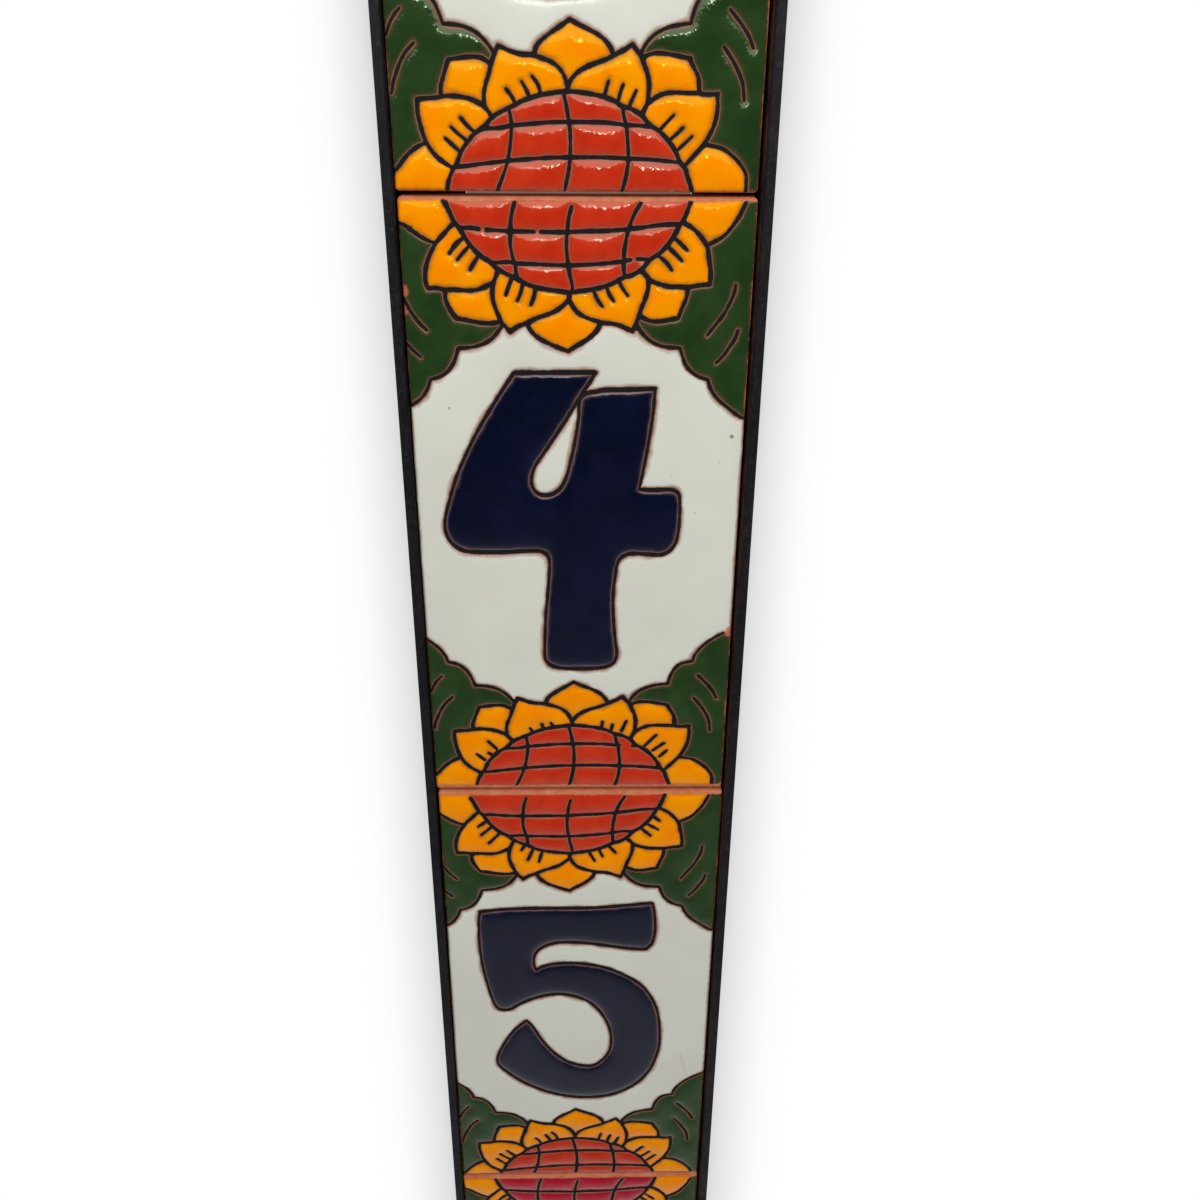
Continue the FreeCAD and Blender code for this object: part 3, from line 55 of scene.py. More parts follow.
# ------------------------------------------------------------ line drawings
# name: (line width, points). The same flower is drawn by hand on each tile,
# so every half has its own set.
LINES_TOP_1 = {
    'disc': (1.15, [(-28.34, 74.49), (-27.35, 72.33), (-26.47, 70.26), (-25.3, 68.85), (-24.04, 66.6), (-22.48, 64.6), (-20.88, 63.04), (-19.15, 62.05), (-17.82, 60.72), (-16.01, 59.63), (-13.57, 58.51), (-11.35, 57.32), (-8.64, 56.47), (-4.95, 55.92), (-2, 55.56), (-0.12, 55.85), (1.68, 56.04), (4.41, 56.56), (7.01, 57.42), (9.49, 58.72), (11.49, 59.32), (13.48, 60.55), (15.15, 62.46), (17.16, 63.81), (18.69, 65.34), (20.01, 67.14), (21.24, 69.4), (22.25, 71.02), (22.88, 72.6), (23.57, 74.5)]),
    'v1': (0.95, [(-13.56, 74.2), (-14.17, 72.19), (-14.5, 70.26), (-14.61, 68.05), (-14.72, 65.75), (-14.34, 63.26), (-13.82, 61.39), (-13.59, 59.52), (-13.29, 58.15)]),
    'v2': (0.9, [(-1.59, 73.32), (-2.19, 71.09), (-2.44, 68.96), (-2.65, 67.25), (-2.72, 65.25), (-2.59, 63.14), (-2.35, 61.34), (-2.03, 59.22), (-1.56, 57.14), (-1.43, 55.65)]),
    'v3': (1, [(12.94, 74.02), (11.92, 72.39), (11.12, 70.58), (10.52, 68.86), (10.06, 66.86), (9.71, 64.76), (9.57, 62.65), (9.61, 60.55), (9.78, 58.55)]),
    'h1': (0.95, [(-25.5, 68.99), (-23.09, 69.04), (-20.5, 68.7), (-17.8, 68.53), (-14.5, 68.37), (-9.9, 68.29), (-6, 68.2), (-2.4, 68.22), (1.69, 68.4), (4.4, 68.42), (7.01, 68.56), (10.51, 68.86), (13.81, 69.24), (17.5, 69.73), (21.61, 69.92)]),
    'h2': (0.9, [(-18.5, 61.79), (-15.2, 61.99), (-13.6, 61.7), (-9.9, 61.56), (-6, 61.38), (-2.3, 61.32), (1.7, 61.45), (4.39, 61.62), (6.99, 61.86), (9.59, 62.22), (12.29, 62.66), (15.1, 62.52)]),
    'p1': (1, [(-39.32, 70.86), (-38.71, 70.19), (-36.93, 69.51), (-35, 68.08), (-33.14, 66.88), (-31.03, 66), (-29.81, 66.26)]),
    'p2a': (1.1, [(-26.69, 69.83), (-27.77, 68.82), (-28.83, 67.68), (-30.01, 66.49), (-31.33, 64.64), (-32.27, 62.81), (-32.95, 60.85), (-33.23, 58.98), (-33.11, 57.25), (-32.62, 56.2)]),
    'p2b': (1.15, [(-32.81, 56.35), (-31, 56.43), (-28.91, 56.08), (-27.09, 56.11), (-24.95, 55.96), (-23.11, 55.94), (-21.54, 56.28), (-20, 56.93), (-18.64, 57.76), (-17.87, 59.18), (-17.33, 60.38)]),
    'p3': (1.15, [(-28.98, 56.06), (-29.14, 54.44), (-28.74, 52.92), (-27.91, 51.25), (-26.96, 49.91)]),
    'p3b': (1.15, [(-27.16, 49.95), (-25.15, 49.61), (-23.06, 49.17), (-20.99, 48.87), (-18.92, 48.89), (-17.14, 49.28)]),
    'p4a': (1.1, [(-17.37, 60.37), (-18.14, 58.63), (-18.76, 56.55), (-18.87, 54.45), (-18.5, 52.65), (-17.79, 50.77), (-17.05, 48.98), (-15.93, 47.77), (-15.03, 46.64)]),
    'p4b': (1.15, [(-15.56, 46.75), (-13.63, 48.1), (-11.44, 48.96), (-9.46, 49.93), (-7.34, 50.65), (-5.2, 51.54), (-3.54, 52.74), (-2.32, 54.05), (-2.1, 55.56)]),
    'p5a': (1.15, [(-11.44, 49.19), (-11.17, 48.05), (-10.21, 46.64), (-8.56, 45.32), (-6.49, 44.27), (-4.38, 43.35), (-2.29, 42.6)]),
    'p5b': (1.15, [(-2.57, 42.6), (-0.96, 43.69), (0.67, 44.64), (2.25, 45.7), (3.63, 47.03), (4.55, 48.58)]),
    'p6b': (1.15, [(-2.18, 55.44), (-2.19, 54.09), (-1.3, 52.35), (-0.14, 51.02), (1.77, 50), (3.64, 49.4), (5.15, 48.97), (7.04, 48.82), (8.89, 48.38), (10.89, 47.49), (12.37, 47.01)]),
    'p6a': (1.1, [(11.29, 46.56), (12.36, 48.46), (12.98, 50.2), (13.61, 52.28), (14.36, 54.19), (14.87, 56.03), (14.99, 57.36), (14.78, 58.72), (13.92, 59.8), (13.43, 60.67)]),
    'p7b': (1.15, [(13.34, 50.46), (14.12, 49.99), (15.9, 49.34), (18, 49.33), (20.13, 49.72), (22.07, 50.07)]),
    'p7': (1.15, [(21.55, 49.66), (22.03, 50.92), (22.69, 52.71), (23.35, 54.46), (23.61, 56.29)]),
    'p8b': (1.15, [(13.61, 60.17), (14.37, 59.22), (15.83, 57.94), (17.83, 57.22), (19.63, 56.82), (21.5, 56.79), (23.6, 56.71), (25.88, 57.09), (28.58, 57.39)]),
    'p8a': (1.1, [(28.26, 57.2), (28.44, 58.94), (28.24, 61.04), (27.84, 63.14), (27.48, 65.1), (26.41, 66.79), (25.14, 68.21), (23.92, 69.21), (22.21, 70.17)]),
    'p9': (1, [(27.36, 65.57), (28.4, 66.05), (30.2, 67.02), (31.52, 68.12), (32.64, 69.55), (33.85, 71.32), (34.52, 72.74), (35.18, 74.16)]),
    'l1': (1.15, [(-16.97, 48.36), (-17.73, 47.33), (-19.07, 45.74), (-20.64, 44.62), (-22.67, 43.83), (-24.72, 43.46), (-26.71, 43.36)]),
    'l2': (1.1, [(-26.88, 43.2), (-27.34, 41.82), (-28.06, 40.02), (-29.37, 38.19), (-31.17, 36.95), (-33.21, 36.33)]),
    'l3': (1.05, [(-33.51, 35.97), (-34.08, 34.38), (-35.19, 32.56), (-36.67, 31.16), (-38.72, 30.03)]),
    'r1': (1.15, [(12.33, 48.76), (13.35, 47.41), (14.44, 46.09), (15.87, 44.89), (17.56, 44.06), (19.61, 43.58), (22.4, 43.4)]),
    'r2': (1.1, [(22.32, 43.43), (22.85, 41.89), (23.55, 39.97), (24.79, 38.32), (26.63, 37), (28.91, 36.23)]),
    'r3': (1.05, [(28.99, 35.91), (29.6, 34.16), (31.26, 31.8), (33.9, 29.59), (36.57, 27.62), (38.36, 27.06)]),
    's_a1': (1, [(-24.98, 66.76), (-26.38, 65.57), (-27.68, 63.88)]),
    's_a2': (1, [(-23.48, 65.27), (-24.78, 63.98), (-26.08, 62.49)]),
    's_a3': (1, [(-21.67, 63.18), (-22.57, 61.8), (-23.47, 60.41)]),
    's_b1': (1, [(-14.46, 58.72), (-15.26, 56.93), (-15.96, 55.05)]),
    's_b2': (1, [(-12.15, 57.63), (-12.75, 55.44), (-13.45, 53.86)]),
    's_b3': (1, [(-9.45, 56.73), (-9.85, 54.75), (-10.54, 52.96)]),
    's_c1': (0.95, [(3.07, 56.13), (3.88, 54.15), (5.08, 52.46)]),
    's_c2': (0.95, [(5.88, 56.83), (6.58, 55.04), (7.48, 53.75)]),
    's_c3': (1, [(8.58, 57.92), (9.48, 56.33), (10.49, 54.94)]),
    's_d1': (1, [(20.39, 67.05), (21.9, 65.66), (23.2, 64.46)]),
    's_d2': (1, [(18.99, 65.26), (20.6, 63.77), (22.1, 62.28)]),
    's_d3': (1, [(17.29, 63.18), (18.89, 61.79), (19.9, 60.4)]),
    'v_l1': (0.6, [(-38.29, 54.36), (-37.39, 52.47), (-36.38, 50.69), (-35.03, 48.8), (-33.58, 47.31)]),
    'v_l2': (0.6, [(-38.28, 44.43), (-36.88, 42.85), (-35.17, 41.26)]),
    'v_r1': (0.65, [(34.02, 57.22), (33.63, 55.14), (32.53, 52.46), (31.23, 50.18), (29.63, 48.09), (28.33, 46.31)]),
    'v_r2': (0.65, [(35.04, 47.3), (34.44, 45.41), (33.34, 43.63), (32.04, 41.64), (30.54, 40.06)]),
}
LINES_TOP_2 = {
    'disc': (1.15, [(-29.35, 73.13), (-28.34, 70.98), (-27.44, 68.92), (-26.26, 67.52), (-24.98, 65.28), (-23.4, 63.3), (-21.78, 61.76), (-20.04, 60.8), (-18.7, 59.48), (-16.88, 58.41), (-14.43, 57.32), (-12.2, 56.15), (-9.49, 55.34), (-5.8, 54.85), (-2.85, 54.54), (-0.97, 54.86), (0.83, 55.09), (3.56, 55.67), (6.16, 56.58), (8.64, 57.93), (10.64, 58.57), (12.63, 59.83), (14.28, 61.78), (16.28, 63.16), (17.8, 64.71), (19.1, 66.53), (20.3, 68.81), (21.3, 70.44), (21.91, 72.03), (22.58, 73.93)]),
    'v1': (0.95, [(-14.56, 73.08), (-15.15, 71.06), (-15.46, 69.11), (-15.56, 66.89), (-15.65, 64.58), (-15.24, 62.09), (-14.71, 60.21), (-14.46, 58.34), (-14.15, 56.96)]),
    'v2': (0.9, [(-2.63, 72.41), (-3.2, 70.16), (-3.43, 68.02), (-3.62, 66.3), (-3.67, 64.29), (-3.52, 62.17), (-3.26, 60.36), (-2.92, 58.23), (-2.42, 56.14), (-2.28, 54.64)]),
    'v3': (1, [(11.85, 73.39), (10.86, 71.74), (10.08, 69.91), (9.51, 68.17), (9.08, 66.15), (8.76, 64.03), (8.65, 61.9), (8.73, 59.78), (8.93, 57.77)]),
    'h1': (0.95, [(-26.46, 67.66), (-24.04, 67.75), (-21.45, 67.45), (-18.75, 67.33), (-15.45, 67.22), (-10.86, 67.21), (-6.97, 67.19), (-3.38, 67.28), (0.69, 67.55), (3.39, 67.62), (6, 67.81), (9.5, 68.17), (12.81, 68.6), (16.52, 69.12), (20.67, 69.33)]),
    'h2': (0.9, [(-19.39, 60.54), (-16.09, 60.8), (-14.49, 60.53), (-10.8, 60.45), (-6.9, 60.33), (-3.21, 60.34), (0.78, 60.55), (3.47, 60.78), (6.08, 61.07), (8.68, 61.47), (11.39, 61.95), (14.22, 61.84)]),
    'p1': (1, [(-40.38, 69.29), (-39.76, 68.62), (-37.96, 67.97), (-36, 66.57), (-34.12, 65.4), (-31.99, 64.56), (-30.76, 64.84)]),
    'p2a': (1.1, [(-27.66, 68.48), (-28.73, 67.45), (-29.79, 66.28), (-30.97, 65.07), (-32.28, 63.19), (-33.21, 61.33), (-33.88, 59.36), (-34.15, 57.48), (-34.01, 55.75), (-33.51, 54.71)]),
    'p2b': (1.15, [(-33.7, 54.86), (-31.88, 54.96), (-29.78, 54.65), (-27.95, 54.71), (-25.81, 54.59), (-23.96, 54.6), (-22.39, 54.96), (-20.85, 55.64), (-19.5, 56.49), (-18.74, 57.93), (-18.21, 59.14)]),
    'p3': (1.15, [(-29.85, 54.63), (-30, 53), (-29.58, 51.49), (-28.74, 49.84), (-27.77, 48.51)]),
    'p3b': (1.15, [(-27.97, 48.55), (-25.95, 48.23), (-23.85, 47.82), (-21.77, 47.54), (-19.7, 47.58), (-17.92, 47.99)]),
    'p4a': (1.1, [(-18.25, 59.13), (-19.01, 57.37), (-19.61, 55.27), (-19.7, 53.16), (-19.31, 51.36), (-18.58, 49.48), (-17.82, 47.69), (-16.69, 46.49), (-15.77, 45.37)]),
    'p4b': (1.15, [(-16.31, 45.47), (-14.39, 46.85), (-12.21, 47.74), (-10.24, 48.74), (-8.13, 49.49), (-6, 50.42), (-4.35, 51.66), (-3.15, 53.01), (-2.95, 54.53)]),
    'p5a': (1.15, [(-12.21, 47.97), (-11.93, 46.82), (-10.95, 45.42), (-9.28, 44.11), (-7.19, 43.08), (-5.07, 42.19), (-2.96, 41.46)]),
    'p5b': (1.15, [(-3.24, 41.46), (-1.64, 42.58), (-0.02, 43.57), (1.55, 44.67), (2.92, 46.03), (3.82, 47.61)]),
    'p6b': (1.15, [(-3.02, 54.41), (-3.02, 53.05), (-2.11, 51.31), (-0.93, 49.99), (1.01, 48.99), (2.89, 48.42), (4.42, 48.02), (6.33, 47.9), (8.2, 47.49), (10.24, 46.63), (11.74, 46.17)]),
    'p6a': (1.1, [(10.66, 45.7), (11.71, 47.63), (12.3, 49.38), (12.9, 51.49), (13.63, 53.42), (14.11, 55.28), (14.21, 56.63), (13.97, 58), (13.08, 59.08), (12.57, 59.95)]),
    'p7b': (1.15, [(12.66, 49.65), (13.46, 49.19), (15.27, 48.56), (17.4, 48.57), (19.54, 48.99), (21.5, 49.36)]),
    'p7': (1.15, [(20.98, 48.94), (21.44, 50.21), (22.08, 52.01), (22.71, 53.77), (22.94, 55.61)]),
    'p8b': (1.15, [(12.76, 59.45), (13.55, 58.5), (15.04, 57.22), (17.08, 56.51), (18.91, 56.12), (20.8, 56.1), (22.92, 56.03), (25.22, 56.43), (27.94, 56.74)]),
    'p8a': (1.1, [(27.62, 56.55), (27.78, 58.3), (27.54, 60.41), (27.1, 62.52), (26.7, 64.49), (25.59, 66.19), (24.28, 67.62), (23.02, 68.62), (21.27, 69.59)]),
    'p9': (1, [(26.57, 64.97), (27.62, 65.45), (29.43, 66.42), (30.75, 67.53), (31.86, 68.96), (33.06, 70.73), (33.71, 72.15), (34.36, 73.57)]),
    'l1': (1.15, [(-17.74, 47.07), (-18.49, 46.03), (-19.81, 44.43), (-21.37, 43.3), (-23.4, 42.49), (-25.45, 42.11), (-27.45, 41.99)]),
    'l2': (1.1, [(-27.62, 41.83), (-28.06, 40.46), (-28.76, 38.66), (-30.05, 36.83), (-31.83, 35.58), (-33.87, 34.94)]),
    'l3': (1.05, [(-34.17, 34.58), (-34.71, 32.98), (-35.8, 31.15), (-37.26, 29.72), (-39.3, 28.56)]),
    'r1': (1.15, [(11.67, 47.93), (12.73, 46.59), (13.86, 45.28), (15.33, 44.1), (17.05, 43.3), (19.14, 42.86), (21.96, 42.72)]),
    'r2': (1.1, [(21.88, 42.75), (22.45, 41.23), (23.19, 39.35), (24.48, 37.74), (26.36, 36.47), (28.67, 35.75)]),
    'r3': (1.05, [(28.76, 35.43), (29.4, 33.71), (31.1, 31.39), (33.78, 29.21), (36.48, 27.26), (38.27, 26.71)]),
    's_a1': (1, [(-25.25, 65.75), (-27.75, 63.75)]),
    's_a2': (1, [(-24, 63.75), (-27, 61)]),
    's_a3': (1, [(-22, 61.5), (-25, 58.25)]),
    's_b1': (1, [(-15.25, 57.5), (-16.25, 55.75)]),
    's_b2': (1, [(-13, 56.25), (-14.5, 52.5)]),
    's_b3': (1, [(-10.5, 55.5), (-11.5, 51.75)]),
    's_c1': (0.95, [(2.25, 55), (3.75, 52)]),
    's_c2': (0.95, [(5, 55.75), (6, 53.5)]),
    's_c3': (1, [(7.5, 57.25), (9.5, 54.75)]),
    's_d1': (1, [(16, 63.25), (19, 60.5)]),
    's_d2': (1, [(17, 65), (21, 62.5)]),
    's_d3': (1, [(19.5, 67), (21.5, 65.25)]),
    'v_l1': (0.6, [(-39.19, 52.79), (-38.27, 50.92), (-37.24, 49.17), (-35.86, 47.31), (-34.39, 45.85)]),
    'v_l2': (0.6, [(-39.07, 42.94), (-37.64, 41.39), (-35.9, 39.83)]),
    'v_r1': (0.65, [(33.44, 56.6), (33.08, 54.52), (32.01, 51.83), (30.74, 49.55), (29.17, 47.46), (27.89, 45.68)]),
    'v_r2': (0.65, [(34.63, 46.74), (34.06, 44.87), (32.99, 43.11), (31.72, 41.13), (30.24, 39.56)]),
}
LINES_LOW_1 = {
    'disc': (1.15, [(-27.48, -75.17), (-27.22, -73.36), (-26.42, -71.34), (-25.18, -69.41), (-24.26, -67.3), (-22.91, -65.51), (-21.31, -63.78), (-19.24, -62.5), (-17.75, -60.79), (-15.8, -59.67), (-13.63, -58.68), (-11.34, -57.58), (-8.65, -56.74), (-6.03, -56.24), (-2.31, -55.84), (1.13, -56.11), (4.4, -56.67), (7.13, -57.56), (8.73, -58.52), (10.54, -59.01), (12.84, -60.28), (14.43, -62.02), (16.45, -63.24), (18.27, -64.92), (19.95, -67.13), (20.84, -69.04), (22.08, -70.5), (22.57, -71.97), (23.2, -73.6), (23.69, -75.1)]),
    'v1': (0.95, [(-14.21, -59.13), (-13.93, -60.71), (-13.75, -62.3), (-13.99, -64.68), (-14.27, -66.76), (-14.76, -69.06), (-15.52, -71.29), (-16.35, -73.25), (-17.08, -74.97)]),
    'v2': (1, [(-2.99, -56.52), (-2.53, -58.62), (-2.17, -60.72), (-1.86, -62.82), (-1.77, -64.9), (-1.79, -66.99), (-1.94, -69.4), (-2.25, -71.49), (-2.68, -73.38), (-3.04, -75.07)]),
    'v3': (1, [(8.89, -58.43), (9.19, -60.5), (9.73, -62.31), (9.95, -64.43), (10.14, -66.51), (10.19, -68.89), (9.96, -71.17), (9.5, -73.34), (8.94, -75.01)]),
    'h1': (0.95, [(-19.8, -62.85), (-16.51, -62.77), (-13.67, -62.29), (-9.96, -61.96), (-6.02, -61.65), (-1.9, -61.56), (2.51, -61.58), (5.92, -61.69), (9.71, -62.09), (12.32, -62.2), (15.33, -62.4)]),
    'h2': (0.95, [(-25.85, -70.31), (-23.16, -70.1), (-19.99, -69.67), (-16.52, -69.3), (-14.62, -69.07), (-9.97, -68.7), (-6.02, -68.45), (-1.9, -68.37), (3, -68.33), (7.01, -68.41), (10.36, -68.56), (13.83, -68.67), (17.55, -68.95), (21.37, -69.35)]),
    'p1': (1.1, [(-38.71, -71.76), (-38.18, -71.1), (-37.21, -70.09), (-35.99, -68.61), (-34.45, -67.23), (-32.91, -66.25), (-31.52, -65.68)]),
    'p2a': (1.15, [(-32.71, -57.6), (-32.76, -59.72), (-32.4, -62.04), (-31.77, -64.42), (-30.85, -66.42), (-29.61, -68.04), (-28.21, -69.25), (-26.2, -70.49)]),
    'p2b': (1.15, [(-32.7, -57.43), (-31.01, -57.24), (-28.94, -57.1), (-27.16, -56.81), (-25.2, -56.8), (-23.05, -57.06), (-21.38, -57.55), (-19.83, -58.33), (-18.38, -59.65), (-17.47, -60.87)]),
    'p3': (1.1, [(-27.84, -57.3), (-27.83, -55.18), (-27.27, -53.35), (-26.61, -51.53), (-26.07, -50.11)]),
    'p3b': (1.1, [(-26.1, -50.08), (-24.21, -49.84), (-22.1, -49.59), (-19.89, -49.64), (-18.28, -50.37), (-17.16, -51.23)]),
    'p4a': (1.1, [(-16.01, -47.44), (-16.82, -48.97), (-17.56, -50.92), (-18.07, -52.71), (-18.79, -54.64), (-19.19, -56.49), (-19.09, -58.42), (-18.32, -59.77), (-17.5, -60.87)]),
    'p4b': (1.15, [(-16.19, -47.57), (-15.14, -47.88), (-13.54, -48.54), (-11.46, -49.04), (-9.34, -49.18), (-7.25, -49.79), (-5.38, -50.48), (-3.74, -51.75), (-2.72, -53.44), (-2.2, -55.19), (-2.17, -56.11)]),
    'p5a': (1.15, [(-1.82, -42.78), (-3.57, -43.95), (-5.62, -45.22), (-7.51, -46.6), (-8.53, -47.83), (-8.93, -49.49)]),
    'p5b': (1.15, [(-1.7, -42.8), (-0.15, -43.61), (1.82, -44.48), (4.08, -45.6), (5.73, -46.97), (6.72, -48.59), (6.73, -49.79)]),
    'p6b': (1.15, [(-2.24, -55.91), (-1.91, -54.22), (-0.48, -52.51), (1.56, -51.31), (3.7, -50.52), (5.59, -49.88), (7.27, -49.03), (9.14, -48.17), (10.4, -47.39), (11.25, -47.01)]),
    'p6a': (1.15, [(10.63, -47.06), (11.55, -48.2), (12.53, -49.33), (13.2, -51), (13.84, -52.6), (14.19, -54.4), (14.11, -56.25), (13.87, -58.12), (13.08, -59.65), (12.68, -60.44)]),
    'p7b': (1.1, [(12.69, -49.79), (13.69, -49.15), (15.41, -48.74), (17.59, -48.85), (19.98, -49.25), (22.34, -49.7)]),
    'p7': (1.1, [(22.35, -50.07), (23.22, -51.49), (24.05, -53.07), (24.32, -54.9), (24.22, -56.5)]),
    'p8b': (1.15, [(12.83, -60.58), (13.73, -58.4), (15.52, -56.94), (17.43, -56.15), (19.59, -55.95), (21.72, -56.03), (24.14, -56.09), (26.18, -56.3), (28.28, -56.12)]),
    'p8a': (1.1, [(28.05, -56.27), (28.27, -58.1), (28.13, -60.17), (27.65, -62.25), (26.8, -64.04), (25.87, -65.68), (24.59, -67.13), (23.39, -68.41), (21.76, -70.19)]),
    'p9': (1, [(26.06, -65.8), (27.5, -66.04), (29.67, -66.58), (31.78, -67.96), (33.52, -69.6), (34.82, -71.64), (34.98, -73.82), (35.01, -75.26)]),
    'l1': (1.15, [(-16.86, -48.87), (-18.06, -47.29), (-19.38, -45.92), (-20.81, -44.91), (-22.65, -44.18), (-24.41, -43.86), (-26.7, -43.68)]),
    'l2': (1.1, [(-26.78, -43.73), (-27.31, -42.24), (-28.14, -40.22), (-29.4, -38.6), (-31, -37.4), (-33.3, -36.8)]),
    'l3': (1.05, [(-33.3, -36.8), (-33.8, -35.2), (-35.1, -33.1), (-36.7, -31.5), (-38.2, -30.3)]),
    'r1': (1.15, [(12.35, -48.97), (13.37, -47.14), (14.76, -45.67), (16.35, -44.7), (18.11, -44.03), (20.15, -43.64), (22.29, -43.34)]),
    'r2': (1.1, [(22.16, -43.58), (22.47, -42.29), (23.07, -40.43), (23.98, -38.77), (25.5, -37.4), (28.3, -36.7)]),
    'r3': (1.05, [(28.3, -36.7), (29, -34.5), (31.1, -31.8), (33.7, -29.7), (36.1, -28.3), (37.9, -27.5)]),
    's_a1': (1, [(-27.37, -64.78), (-26.07, -65.97), (-24.47, -67.36)]),
    's_a2': (1, [(-26.16, -62.58), (-24.76, -63.88), (-22.76, -65.37)]),
    's_a3': (1, [(-24.06, -60.89), (-22.86, -62.28), (-21.16, -63.78)]),
    's_b1': (1, [(-14.64, -55.5), (-13.64, -56.7), (-12.84, -58.19)]),
    's_b2': (1, [(-11.54, -54.01), (-10.64, -55.5), (-9.84, -57.19)]),
    's_b3': (1, [(-9.43, -53.01), (-8.23, -54.6), (-7.64, -56.59)]),
    's_c1': (1, [(6.03, -53.8), (5.48, -55.59), (5.18, -57.18)]),
    's_c2': (1, [(8.93, -54.59), (8.28, -56.38), (7.88, -58.08)]),
    's_c3': (1, [(11.58, -55.68), (10.68, -57.58), (9.98, -58.97)]),
    's_d1': (1, [(19.39, -60.16), (17.98, -61.56), (16.48, -63.15)]),
    's_d2': (1, [(21.39, -62.55), (20.13, -63.75), (18.38, -65.14)]),
    's_d3': (1, [(23.29, -64.24), (21.98, -65.44), (20.28, -66.93)]),
    'v_l1': (0.65, [(-32.65, -47.05), (-34.25, -48.54), (-35.56, -50.44), (-36.56, -52.53), (-37.37, -54.62), (-37.77, -56.42)]),
    'v_l2': (0.6, [(-35.04, -40.87), (-36.35, -42.27), (-37.35, -43.86), (-38.05, -45.66)]),
    'v_r1': (0.65, [(29.01, -47.6), (30.71, -49.79), (32.01, -51.88), (33.01, -53.98), (33.41, -55.87), (33.6, -57.46)]),
    'v_r2': (0.65, [(29.82, -40.83), (31.12, -42.22), (32.52, -43.82), (33.82, -45.61), (34.82, -47.7)]),
}
